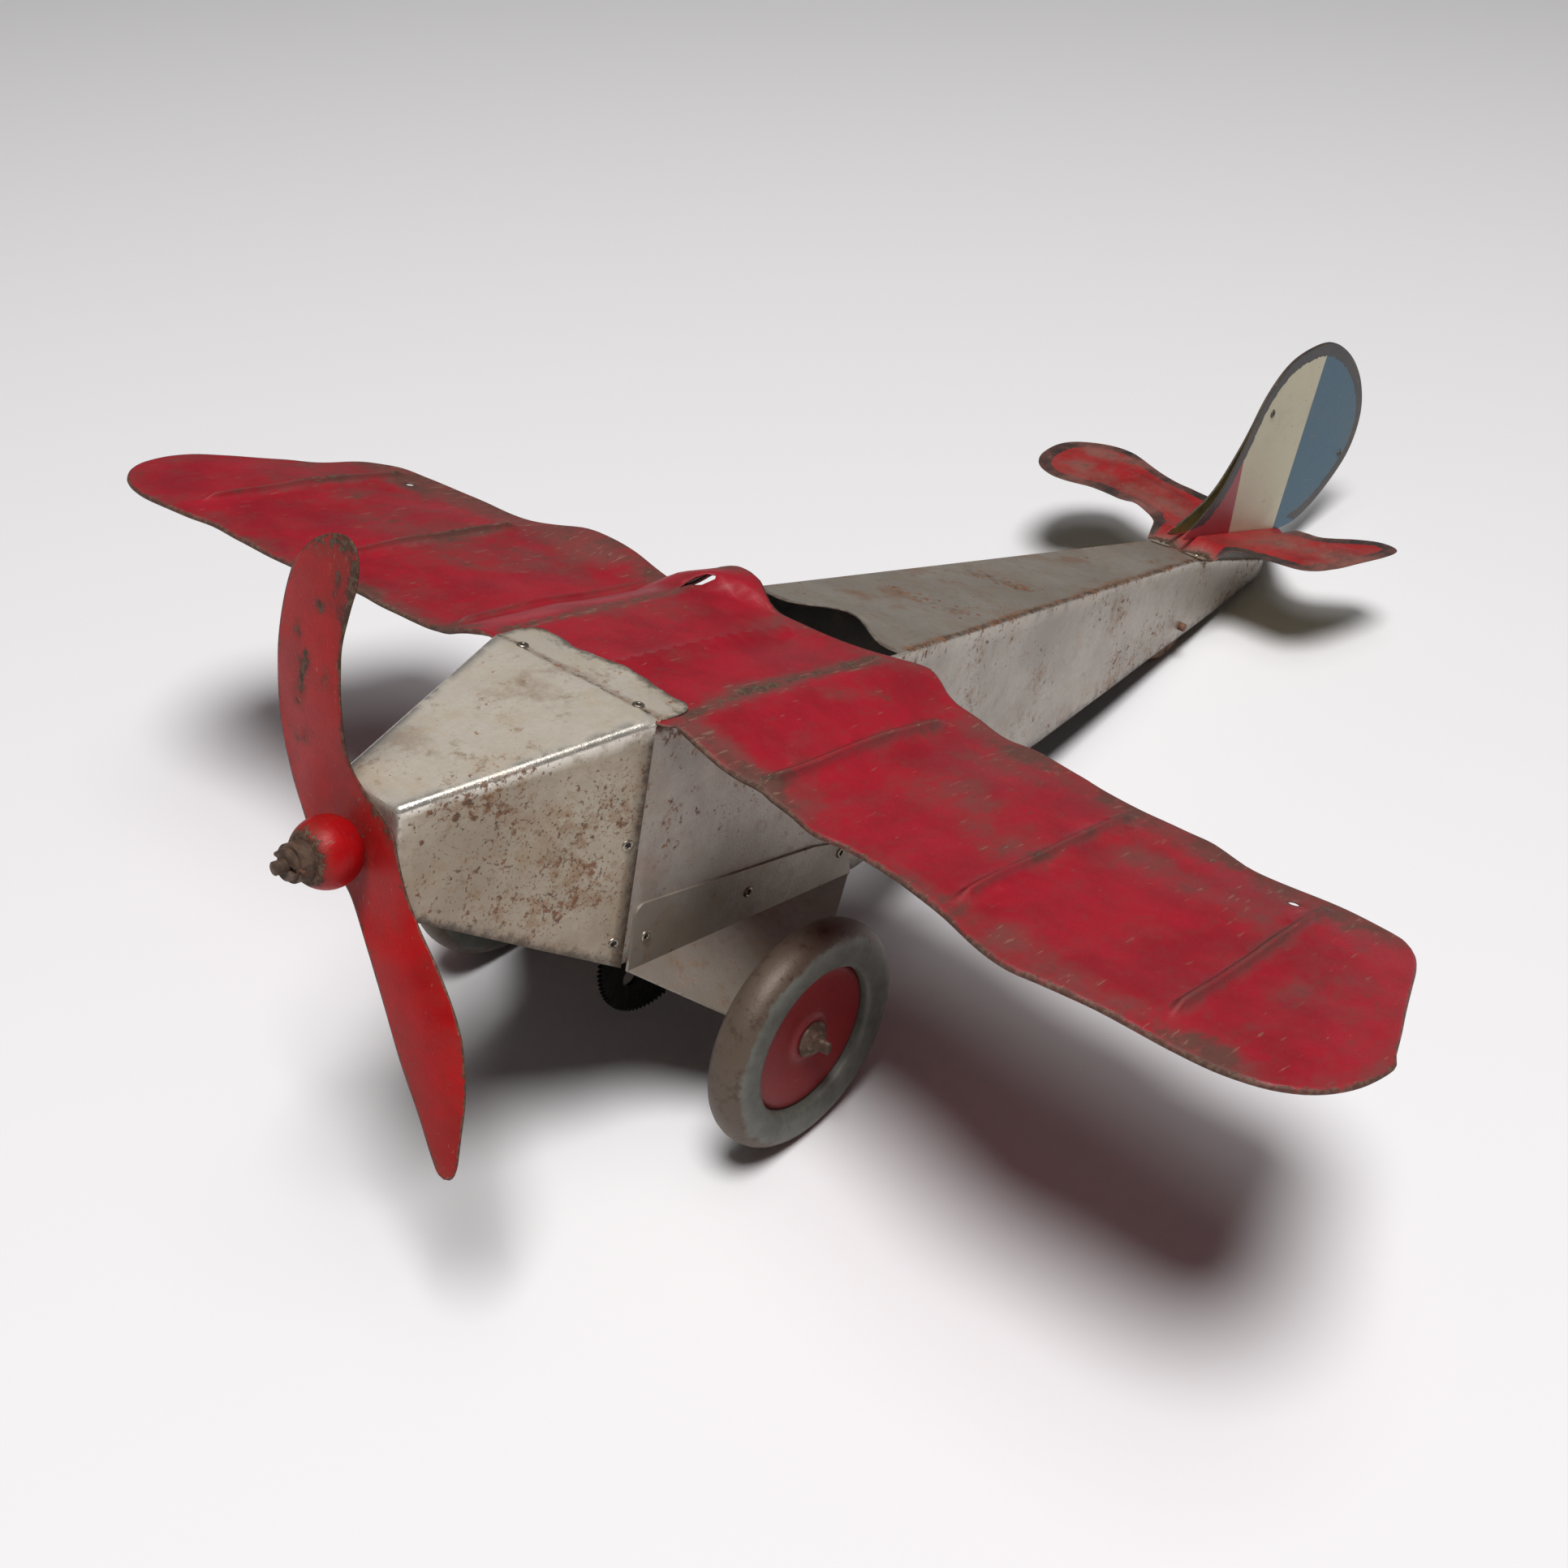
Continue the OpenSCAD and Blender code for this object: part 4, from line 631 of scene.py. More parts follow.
# A sheet with its edge shaped by rings. place turns (u, v, lift) to a point of the toy. The hem
# in the piece's table lists rings from the edge's hidden side to the open face as (inset, lift),
# its holes are (u, v, radius) and its slits are cut out. columns are lines (u, low v, high v) of
# finer points
def sheetFromOutline(bm, piece, outline, place, crestAt=noLayer, scuffAt=noLayer,
                     edgeShare=fullShare, flip=False, material=0, columns=()):
    loop, hem, gridMm = smoothLoop(outline, piece["step"]), piece["hem"], piece["gridMm"]
    holes = piece.get("holes", ())
    slits = [[Vector(p) for p in slit] for slit in piece.get("slits", ())]

    def sheetVert(u, v, lift, distance):
        return addVert(bm, place(u, v, lift), closeness(distance) * edgeShare(u, v),
                       crestAt(u, v), scuffAt(u, v))

    before = set(bm.faces)
    rings = [[sheetVert(p.x, p.y, lift, inset) for p in insetLoop(loop, inset)]
             for inset, lift in hem]
    joinRows(bm, rings, closed=True)
    n = len(loop)
    points = insetLoop(loop, hem[-1][0])
    guard = insetLoop(loop, hem[-1][0] + gridMm * gridClear["edge"])
    constraints = [list(range(n))]
    circles = [[Vector((u + radius * cos(a), v + radius * sin(a)))
                for a in turnSteps(16)] for u, v, radius in holes]
    for opening in circles + slits:
        constraints.append(list(range(len(points), len(points) + len(opening))))
        points += opening
    torn = [p for slit in slits for p in slit]
    finer = [Vector((u, lerp(first, last, i / 20))) for u, first, last in columns
             for i in range(21)]
    points += [p for p in finer if isInside(guard, p.x, p.y)]

    def isClear(p):
        return (all(hypot(p.x - u, p.y - v) > radius + gridMm * gridClear["hole"]
                    for u, v, radius in holes)
                and all(abs(p.x - u) > gridMm * gridClear["column"] or not first < p.y < last
                        for u, first, last in columns)
                and all((p - q).length > gridMm * gridClear["slit"] for q in torn)
                and not any(isInside(slit, p.x, p.y) for slit in slits)
                and isInside(guard, p.x, p.y))

    (left, low), (right, high) = ((pick(p.x for p in loop), pick(p.y for p in loop))
                                  for pick in (min, max))
    for j in range(int((high - low) / gridMm / gridClear["rowGap"]) + 1):
        row = [Vector((left + (i + (j % 2) / 2) * gridMm, low + j * gridMm * gridClear["rowGap"]))
               for i in range(int((right - left) / gridMm) + 1)]
        points += [p for p in row if isClear(p)]
    coords, _, faces, sources, _, _ = delaunay_2d_cdt(points, [], constraints, 1, 1e-5)
    edgeTree = KDTree(n)
    for i, p in enumerate(loop):
        edgeTree.insert((p.x, p.y, 0), i)
    edgeTree.balance()
    verts = []
    for p, source in zip(coords, sources):
        if source and min(source) < n:
            verts.append(rings[-1][min(source)])
        else:
            distance = min([edgeTree.find((p.x, p.y, 0))[2]]
                           + [hypot(p.x - u, p.y - v) - radius + 1 for u, v, radius in holes]
                           + [(p - q).length + 2 for q in torn])
            verts.append(sheetVert(p.x, p.y, 0, distance))
    for f in faces:
        middle = sum((coords[i] for i in f), Vector((0, 0))) / 3
        opened = (any(hypot(middle.x - u, middle.y - v) < radius for u, v, radius in holes)
                  or any(isInside(slit, middle.x, middle.y) for slit in slits))
        corners = [verts[i] for i in f]
        if not opened and len(set(corners)) == 3 and not bm.faces.get(corners):
            bm.faces.new(corners)
    fresh = [f for f in bm.faces if f not in before]
    for face in fresh:
        face.material_index = material
    if flip:
        bmesh.ops.reverse_faces(bm, faces=fresh)


# wing: one hemmed sheet draped over the body, bent and curled by years of play, with a slit torn
# beside a raised strap at its rear
wing = {
    "thickness": 0.55, "gridMm": 3, "step": 2.4, "top": 86, "fall": 0.02, "cowlBack": 41,
    "halfBody": 28, "shoulderIn": 31, "shoulderOut": 62, "drop": 9.5, "ribs": wingRibs["places"],
    "ribHeight": 2.1, "ribWidth": 2.7, "ribEnds": (-34, 47), "ribRun": 7, "outFrom": 30,
    "outRun": 20, "crown": 6, "halfChord": 46, "sagFrom": 5, "sagRun": 45, "foldAt": 33,
    "foldReach": 5, "foldShare": 0.55, "ribPoints": (-2.6, -1.6, -0.8, 0, 0.8, 1.6, 2.6),
    "holes": [(157, 40, 1.5), (-157, 40, 1.5)], "camber": 1.2, "waves": [(38, 30, 2.3, 1.3),
    (15, 15, 7.1, 0.45)], "middleSag": 1.6, "rearCurl": {"lift": 5, "from": 42, "run": 18,
    "x": -88, "reach": 34, "inner": -60}, "slits": [[(-33.7, 32.5), (-32.4, 35.5), (-31, 39.5),
    (-29.9, 43.6), (-31, 45), (-32.8, 43), (-33.8, 39.5), (-34.2, 36)]], "strap": {"lift": 3.4,
    "from": 31, "run": 12, "tearX": -32.2, "wide": 24, "narrow": 1.6, "widenFrom": 42,
    "widenRun": 8, "steep": 1.6}, "hem": [(2.2, -1.5), (1.1, -1.6), (0.3, -1.3), (0, -0.75),
    (0.12, -0.3), (0.5, 0.05), (1.2, 0.12), (2.2, 0.1), (3, 0), (4.4, 0)], "middleHem": 0.37,
    "scuffs": [(29.5, -32, 26.5, -8, 4.2, 1.15), (25.5, -8, 26, 5, 6, 1.3),
    (26, 5, 27.5, 46, 4.2, 1.2), (36, 14, 40, 30, 6, 0.7), (-31, -36, -32.5, 34, 3, 1.05),
    (-46, 52, -34, 53, 7, 0.7), (62, 50, 178, 46, 17, 0.55), (-62, 56, -178, 44, 20, 0.72),
    (-100, 20, -160, 10, 34, 0.42), (100, -34, 180, -38, 9, 0.5), (32, -34, 62, -28, 8, 0.55),
    (-40, -38, -110, -34, 9, 0.6), (88, 10, 104, 2, 16, 0.5), (128, 28, 150, 26, 14, 0.6),
    (-70, 30, -84, 44, 10, 0.5), (60, 34, 84, 40, 12, 0.5)]}
wingEdge = [
    (203, -11), (201, -4.9), (198.4, 4), (194.7, 16), (191, 28.7), (188.3, 37.7), (185.6, 43.6),
    (182, 47.7), (178, 49.5), (166, 50.7), (154, 50.4), (142.5, 50.4), (137.6, 51.4), (129, 54.2),
    (122, 53.6), (112.6, 53), (104, 53.5), (96.4, 54), (90.5, 55.3), (84, 56.6), (77, 58),
    (72.8, 58.6), (65.6, 57.8), (60.5, 59), (55.8, 59.3), (52, 58), (48.4, 56.5), (44.7, 56.6),
    (41.5, 57.8), (37, 58), (33, 54), (28, 51), (14, 50), (0, 50), (-12, 50), (-18, 52.4),
    (-23, 55.4), (-28, 57), (-34, 58), (-39, 58.7), (-46, 60.5), (-56, 61), (-67.6, 62),
    (-79.5, 62), (-92, 61), (-110, 58.5), (-120.5, 56.5), (-133, 55.5), (-149, 53.5), (-161, 51.7),
    (-172, 49.4), (-178.7, 43), (-182, 36.4), (-184.8, 24.7), (-189.7, 17), (-196, 6), (-201, -5),
    (-203, -14), (-202.8, -21), (-200, -29), (-195, -36), (-188, -40.8), (-179, -42.7),
    (-169, -42.3), (-158, -41), (-149, -38.5), (-137.5, -38.8), (-127, -38.3), (-114.7, -38),
    (-100, -36.5), (-88, -35), (-80, -35), (-69.7, -34), (-57, -34.6), (-46, -39.7), (-40, -41.5),
    (-33, -41), (-29.8, -41), (-15, -41), (0, -41), (15, -41), (29.8, -41), (32, -38), (36.9, -38),
    (44.9, -36.2), (54.4, -31.2), (62, -30.5), (72, -33.5), (82, -33), (94, -34), (101, -35),
    (111.5, -37.7), (123, -42), (132.5, -43.8), (140, -43), (150.6, -41.4), (160, -41),
    (171.5, -41.3), (181, -40.7), (189.6, -38), (196.4, -32.2), (201.4, -22.4)]


def wingTop(y):
    return wing["top"] - wing["fall"] * (y + wing["cowlBack"])


def ribShare(x, y):
    front, rear = wing["ribEnds"]
    along = ease((y - front) / wing["ribRun"]) * ease((rear - y) / wing["ribRun"])
    return along * max(bump((abs(x) - r) / wing["ribWidth"]) for r in wing["ribs"] + (0,))


def wingHeight(x, y):
    a = abs(x)
    z = wingTop(y)
    z -= wing["drop"] * ease((a - wing["shoulderIn"]) / (wing["shoulderOut"] - wing["shoulderIn"]))
    z += wing["ribHeight"] * ribShare(x, y)
    out = ease((a - wing["outFrom"]) / wing["outRun"])
    z -= wing["camber"] * out * min(1.2, abs(y - wing["crown"]) / wing["halfChord"]) ** 3
    z += out * sum(wavy(x / long, y / wide, seed) * high
                   for long, wide, seed, high in wing["waves"])
    curl, strap = wing["rearCurl"], wing["strap"]
    if x < curl["inner"]:
        z += (curl["lift"] * ease((y - curl["from"]) / curl["run"])
              * bump((x - curl["x"]) / curl["reach"]))
    past = x - strap["tearX"]
    widening = ease((y - strap["widenFrom"]) / strap["widenRun"]) if past > 0 else 1
    width = lerp(strap["narrow"], strap["wide"], widening)
    z += (strap["lift"] * ease((y - strap["from"]) / strap["run"])
          * ease(strap["steep"] * (1 - abs(past) / width)))
    if a < wing["halfBody"]:
        sag = wing["middleSag"] * ease((y - wing["sagFrom"]) / wing["sagRun"])
        z -= sag * (1 - (a / wing["halfBody"]) ** 2)
    return z


# The ribs' crests, and a soft fold where the sheet leaves the body
def wingCrest(x, y):
    fold = bump((abs(x) - wing["foldAt"]) / wing["foldReach"]) * wing["foldShare"]
    return max(ribShare(x, y), fold)


# The hem lies flatter between the cowl's lip and the body
def placeWing(x, y, lift):
    hemmed = lerp(wing["middleHem"], 1, ease((abs(x) - wing["shoulderIn"]) / 3))
    return (x, y, wingHeight(x, y) + wing["thickness"] + lift * hemmed)


def makeWing():
    bm = startMesh()
    sheetFromOutline(bm, wing, wingEdge, placeWing, wingCrest, partial(nearMarks, wing["scuffs"]),
                     columns=[(side * (rib + off), -36, 49) for side in (1, -1)
                              for rib in wing["ribs"] for off in wing["ribPoints"]])
    makeObject("wingSheet", bm, [enamels["wing"]], "airframe", ["wing"], wing["thickness"])


makeWing()
print("wing made")


# body: a folded channel open below, its top sheet behind the wing
body = {
    "taper": 52, "rear": 335, "halfWidth": 28, "halfTail": 5.5, "top": 86, "fall": 0.02,
    "kink": (262, 73), "tailTop": 60, "topSheet": 57, "radius": 1.3, "thickness": 0.5,
    "cowlBack": -41, "tuck": 0.7, "belly": [(-50, 24.4), (-41, 20.2), (52, 18), (162, 28),
    (335, 52.5)], "stations": [-50, -44, -41, *range(-36, 57, 6), 57, 58.5, 60, 62, 64.5, 67, 70,
    74, *range(78, 259, 6), 260, 262, 264, *range(268, 331, 6), 335], "topSteps": 9,
    "sideSteps": 12, "bend": {"run": 30, "bow": 5, "ripple": 1.8, "rippleRate": 5.1, "start": 0.6,
    "rise": 2.3, "crest": 0.15, "steep": 2.6}, "wave": 0.4, "waveMm": (25, 42, 30), "calmSide": 10,
    "calmTop": 8, "calmFront": 14, "noseRise": 0.248, "noseTaper": 0.3, "tuckRun": 3,
    "edgeSteep": 1.6, "foldReach": 2.2, "creaseReach": 3, "crease": 0.35, "dirtyCrease": 0.9,
    "dirtyFrom": 60, "topShare": 0.8,
    "topScuffs": [(-11, 148, 6, 152, 11, 1), (-10, 103, 12, 106, 10, 0.9),
    (-14, 190, -6, 205, 8, 0.6), (4, 235, 10, 262, 7, 0.6)],
    "sideScuffs": [(-41, 85, -32, 85, 5, 1.1), (-40, 30, -26, 68, 24, 0.34)]}


def bodyTop(y):
    back, taper = body["cowlBack"], body["taper"]
    if y < back:
        return body["top"] + body["noseRise"] * (y - back)
    return alongRows([(back, body["top"]), (taper, body["top"] - body["fall"] * (taper - back)),
                      body["kink"], (body["rear"], body["tailTop"])], y)


# Half the width, narrower and tucked a little under the cowl at the front
def bodyHalf(y):
    ahead = body["cowlBack"] - y
    if ahead > 0:
        tuck = body["tuck"] * ease(ahead / body["tuckRun"])
        return body["halfWidth"] - body["noseTaper"] * ahead - tuck
    return lerp(body["halfWidth"], body["halfTail"],
                max(0, (y - body["taper"]) / (body["rear"] - body["taper"])))


# The k-th point of a station, with the top sheet's front edge bent up and rippled
def bodyVert(bm, side, y, k, x, z, off):
    topCount, bend = body["topSteps"] + 1, body["bend"]
    low, place = alongRows(body["belly"], y), y
    onTop = k < topCount + 1
    if onTop and y >= body["topSheet"]:
        s = (y - body["topSheet"]) / bend["run"]
        lead = side * x / body["halfWidth"]
        shift = (bend["bow"] * bump(lead)
                 + bend["ripple"] * sin(lead * bend["rippleRate"] + bend["start"]))
        place = y + shift * max(0, 1 - s) ** 2 * (1 - abs(lead) ** 4)
        crest = bump((lead - bend["crest"]) / (1 - bend["crest"]))
        z += bend["rise"] * crest * max(0, 1 - s * bend["steep"]) ** 2
    wave = wavy(*(v / size for v, size in zip((x * side, y, z), body["waveMm"]))) * body["wave"]
    if k > topCount + 3:
        front = ease((y - body["cowlBack"]) / body["calmFront"])
        x += wave * min(1, off / body["calmSide"]) * front
    elif k < topCount:
        z += wave * min(1, off / body["calmTop"])
    reach = [max(0, z - low) if k > topCount + 2 else edgeReach, body["rear"] - y]
    if onTop:
        reach.append(max(0, y - body["topSheet"]))
    above = k < topCount + 2
    crease = body["dirtyCrease" if side > 0 and y > body["dirtyFrom"] and above else "crease"]
    marks = (body["topShare"] * nearMarks(body["topScuffs"], side * x, y) if above
             else nearMarks(body["sideScuffs"], y, z))
    return addVert(bm, (side * x, place, z), closeness(min(reach) * body["edgeSteep"]),
                   max(0, 1 - off / body["foldReach"]) if k > topCount else 0,
                   max(crease * max(0, 1 - off / body["creaseReach"]), marks))


def makeBody():
    bm = startMesh()
    topCount = body["topSteps"] + 1
    for side in (1, -1):
        grid = [[bodyVert(bm, side, y, k, *point) for k, point in enumerate(
                    channelHalf(body, bodyHalf(y), bodyTop(y), alongRows(body["belly"], y)))]
                for y in body["stations"]]
        topRows = [row[:topCount + 1] for row, y in zip(grid, body["stations"])
                   if y >= body["topSheet"]]
        joinRows(bm, topRows, flip=side < 0, material=1)
        joinRows(bm, [row[topCount:] for row in grid], flip=side < 0)
    bmesh.ops.delete(bm, geom=[v for v in bm.verts if not v.link_faces], context="VERTS")
    bmesh.ops.remove_doubles(bm, verts=bm.verts, dist=1e-6)
    # The inner faces take the dark tin, a painted shade inside the body
    makeObject("foldedBody", bm, [tins["body"], tins["top"], tins["inside"], tins["inside"]],
               "airframe", ["fuselage_shell"], body["thickness"], innerSlot=2)


makeBody()
print("body made")


# cowl: a folded nose cover with a lip that lies over the wing
cowl = {
    "nose": -101, "back": -41, "halfNose": 10.5, "halfBack": 28.5, "noseLow": 45.5,
    "noseTop": 72.3, "backLow": 19.5, "backTop": 87.1, "radius": 1.6, "thickness": 0.5,
    "sideSteps": 16, "topSteps": 10, "longSteps": 16, "dent": 0.35,
    "dentMm": (14, 16, 14), "dentFold": 6, "dentBack": 8, "foldReach": 1.6, "noseReach": 2.2,
    "edgeSteep": 1.4, "backSteep": 1.5, "lip": {"end": -27, "steps": 9,
    # The lip's crease darkening is a painted shade in its valley
    "above": 1.15, "narrow": 0.14, "curl": 1.5, "press": 0.25, "creaseDirtAndShade": 0.85}}


def makeCowl():
    bm = startMesh()
    nose, back, r, n = cowl["nose"], cowl["back"], cowl["radius"], cowl["longSteps"]
    rows = [(nose + r - r * sin(a), r - r * cos(a))
            for a in (radians(d) for d in (90, 67, 45, 22, 0))]
    rows += [(lerp(nose + r, back, i / n), 0) for i in range(1, n + 1)]
    grid = []
    for y, shrink in rows:
        u = (y - nose) / (back - nose)
        w, top, low = (lerp(cowl[a], cowl[b], u) for a, b in (
            ("halfNose", "halfBack"), ("noseTop", "backTop"), ("noseLow", "backLow")))
        half = channelHalf(cowl, w, top, low, shrink)[::-1]
        ring = []
        for side, (x, z, off) in [(1, p) for p in half] + [(-1, p) for p in half[-2::-1]]:
            x *= side
            dent = wavy(*(v / size for v, size in zip((x, y, z), cowl["dentMm"]))) * cowl["dent"]
            dent *= min(1, off / cowl["dentFold"]) * ease((back - y) / cowl["dentBack"])
            if shrink:
                dent = 0
            onSide = abs(x) > w - r
            edge = min(z - low, cowl["backSteep"] * (back - y)) if onSide else edgeReach
            fold = max(1 - off / cowl["foldReach"], 1 - (y - nose) / cowl["noseReach"], 0)
            ring.append(addVert(bm, (x + (dent if onSide else 0), y, z + (0 if onSide else dent)),
                                closeness(edge * cowl["edgeSteep"]), fold))
        grid.append(ring)
    joinRows(bm, grid)
    bm.faces.new(grid[0])
    joinRows(bm, makeLip(bm, grid[-1][cowl["sideSteps"]:-cowl["sideSteps"]]))
    bmesh.ops.recalc_face_normals(bm, faces=bm.faces)
    # Upward faces get the lighter tin, a painted light on the cowl's top
    for face in bm.faces:
        face.material_index = 1 if face.normal.z > 0.7 else 0
    makeObject("noseCowl", bm, [tins["cowl"], tins["cowlTop"]], "airframe", ["nose_cowl"],
               cowl["thickness"])


# Rows of the ragged lip over the wing, from the top's rear edge, with a painted shade in the
# valley along its crease
def makeLip(bm, first):
    lip, half, rows = cowl["lip"], cowl["halfBack"], [first]
    for s in (j / lip["steps"] for j in range(1, lip["steps"] + 1)):
        row = []
        for k in range(len(first)):
            x = lerp(half, -half, k / (len(first) - 1))
            corner = max(0, s - 0.5) / 0.5
            narrow = 1 - lip["narrow"] * (1 - sqrt(max(0, 1 - corner ** 2)))
            ragged = 0.9 * wavy(x / 6, 3.1, 0) + 0.5 * sin(x / 5.2)
            y = cowl["back"] + (lip["end"] - cowl["back"] + ragged) * s
            lift = lip["curl"] * max(0, s - 0.45) ** 1.5 * (1.2 + sin(x / 7 + 1))
            lift -= lip["press"] * bump((s - 0.25) / 0.25)
            edge = min((1 - s) * 12, abs(half - abs(x)) + 0.5)
            # The band behind the crease is darkened through the scuff layer as painted shade
            row.append(addVert(bm, (x * narrow, y, wingTop(y) + lip["above"] + lift),
                               closeness(edge * 1.5), 0,
                               lip["creaseDirtAndShade"] * bump((s - 0.14) / 0.26)))
        rows.append(row)
    return rows


makeCowl()
print("cowl made")


# A round piece about the x or y axis through centre, from rows (along, radius, edge, fold, scuff)
def revolve(bm, profile, centre, axis, sides):
    rings = []
    for along, radius, *layers in profile:
        ring = []
        for a in turnSteps(sides):
            u, v = radius * cos(a), radius * sin(a)
            place = ((along, centre[1] + u, centre[2] + v) if axis == "x"
                     else (centre[0] + u, along, centre[2] + v))
            ring.append(addVert(bm, place, *layers))
        rings.append(ring)
    joinRows(bm, rings, closed=True)
    bmesh.ops.remove_doubles(bm, verts=bm.verts, dist=1e-6)
    bmesh.ops.recalc_face_normals(bm, faces=bm.faces)


# propeller: one bent sheet, drawn as the photograph shows it and set back along each blade's bend
propeller = {
    "plane": -103.6, "shaftZ": 60, "thickness": 0.8, "twist": 7, "forward": 3, "bow": 1.2,
    "reach": 73, "halfWidth": 12.5, "hub": 14, "sightX": 1.35, "sightZ": 1.19, "step": 1.6,
    "twistRun": 12, "bowFrom": 8, "bowRun": 20,
    "gridMm": 2.2, "hem": [(0, -0.25), (0.12, -0.05), (0.5, 0), (1.4, 0)],
    "scuffs": [(-20, 122, -8, 124, 5, 0.9), (-6.5, 121, -8.4, 98, 2.6, 1.15),
    (-8.4, 98, -4, 79, 2.4, 1.15), (-4, 79, 12, 66, 3, 0.9), (0, 60, 0, 61, 15, 0.8),
    (-22, 86, -20, 96, 3.4, 1.2), (-17, 108, -16, 109, 3.2, 1.1), (-14, 92, -13, 94, 3, 1),
    (-24, 100, -24, 101, 3, 1), (-12, 116, -11, 118, 3.4, 1.1), (-19, 78, -18, 79, 3, 1),
    (30, -4, 38, -8, 4, 0.7)], "upperLine": [(-3, 62), (-14, 82), (-19.5, 98), (-17, 113),
    (-12, 124)], "lowerLine": [(4, 56), (17, 40), (28, 26), (32, 12), (35, 0), (38, -7)]}
propellerEdge = [
    (-17.6, 58.9), (-23.5, 68.7), (-28.2, 79.9), (-30, 91), (-30.2, 98.8), (-28.9, 108),
    (-26.6, 115.4), (-23.5, 119.6), (-20, 122.8), (-14.8, 125.3), (-10.8, 126), (-8, 125.5),
    (-5.7, 122.7), (-5.3, 116.5), (-6.7, 111.4), (-8.7, 103), (-8.9, 97.4), (-7.8, 88.3),
    (-5, 79.7), (-0.4, 75.3), (5.5, 72.4), (11.3, 69.1), (13.6, 65.8), (14.8, 62.7), (18.3, 56.3),
    (24.5, 49), (30.7, 43), (37, 35), (40.3, 28.4), (42, 20.8), (42.7, 14.6), (42.2, 5.6),
    (41.5, -3.8), (39.3, -8), (35.7, -8.6), (32.5, -4.9), (27.2, 3.3), (20.4, 12.7), (13.5, 24.3),
    (6.5, 35.7), (-0.4, 47), (-9, 51.5), (-14.5, 54.5)]


# Distance out from the shaft and signed distance from the middle of the nearer blade
def bladePlace(u, v):
    here = Vector((u, v))
    nearest = (1e9, 0, 1)
    for key, side in (("upperLine", 1), ("lowerLine", -1)):
        line = [Vector(p) for p in propeller[key]]
        for a, b in zip(line, line[1:]):
            run, off = b - a, offStretch(a, b, here)
            across = -side * (run.x * off.y - run.y * off.x) / run.length
            if off.length < nearest[0]:
                nearest = (off.length, across, side)
    return hypot(u, v - propeller["shaftZ"]), nearest[1], nearest[2]


def bladeBend(u, v):
    r, across, side = bladePlace(u, v)
    turn = radians(propeller["twist"]) * side
    turn *= ease((r - propeller["hub"]) / propeller["twistRun"])
    bow = propeller["bow"] * (1 - min(1, abs(across) / propeller["halfWidth"]) ** 2)
    lean = propeller["forward"] * r / propeller["reach"]
    away = ease((r - propeller["bowFrom"]) / propeller["bowRun"])
    return -across * sin(turn) - (bow + lean) * away


def placeBlade(u, v, lift):
    bend = bladeBend(u, v)
    return (u - propeller["sightX"] * bend, propeller["plane"] + bend - lift,
            v - propeller["sightZ"] * bend)


def makePropeller():
    bm = startMesh()
    sheetFromOutline(bm, propeller, propellerEdge, placeBlade,
                     scuffAt=partial(nearMarks, propeller["scuffs"]))
    makeObject("propellerSheet", bm, [enamels["propeller"]], "propeller", ["propeller"],
               propeller["thickness"])


makePropeller()


# ball behind the collar: two pressed halves with a fine seam round the middle
ball = {"centre": -110.82, "radius": 8.4, "front": -46, "back": 38, "shaft": 1.7,
        "seamDeep": 0.05, "seamDegrees": 3, "steps": 42, "sides": 64, "wornDegrees": 30,
        "worn": 0.9}


def makeBall():
    bm = startMesh()
    front, profile = ball["front"], []
    for i in range(ball["steps"] + 1):
        d = lerp(front, ball["back"], i / ball["steps"])
        a, r = radians(d), ball["radius"] - ball["seamDeep"] * bump(d / ball["seamDegrees"])
        profile.append((ball["centre"] + r * sin(a), r * cos(a),
                        closeness((d - front) * 0.5), 0,
                        ball["worn"] * ease(1 - (d - front) / ball["wornDegrees"])))
    profile = ([(profile[0][0], ball["shaft"], 1, 0, ball["worn"])] + profile
               + [(profile[-1][0], ball["shaft"], 0, 0, 0)])
    revolve(bm, profile, (0, 0, propeller["shaftZ"]), "y", ball["sides"])
    makeObject("ballBoss", bm, [enamels["propeller"]], "propeller", ["ball_boss"])


makeBall()
print("propeller made")


# tail: two sheets back to back, each a fin skin over a stabiliser half with a curled root tab
tail = {
    "thickness": 0.5, "foldZ": 103.6, "foldFall": 0.1, "gridMm": 2.4, "step": 2, "levelOut": 24,
    "levelZ": 76, "levelY": 283, "levelRise": 0.1, "dihedral": 0.1, "ribPlaces": (288, 309),
    "ribHeight": 0.9, "wave": 0.5, "tabBack": 279, "tabOut": 21, "gape": {1: 3, -1: 9},
    "gapeSlant": 0.62, "gapeRun": 75, "foldEnd": 4, "ribs": (14, 52), "ribRun": 6, "ribWidth": 2.6,
    "finFoot": 76.5, "finHeight": 66, "finFront": 266, "hem": [(0, -0.25), (0.1, -0.05), (0.45, 0),
    (1.6, 0)], "scuffs": [(-6, 268, -9, 268, 9, 2.2), (6, 268, 9, 268, 9, 2.2),
    (-20, 300, -60, 296, 12, 0.5), (20, 300, 52, 300, 12, 0.6), (-66, 312, -50, 322, 8, 0.6)]}
finEdge = [(266, 77.2), (277, 83.5), (289, 92), (299, 107), (308, 125), (321, 137), (339, 142.5),
           (356, 143), (376, 136.5), (393, 125), (402.6, 110.7), (401, 95), (387, 81),
           (370, 71.5), (353, 68.5), (336, 70.2), (318, 72), (300, 73.8), (282, 75.6)]
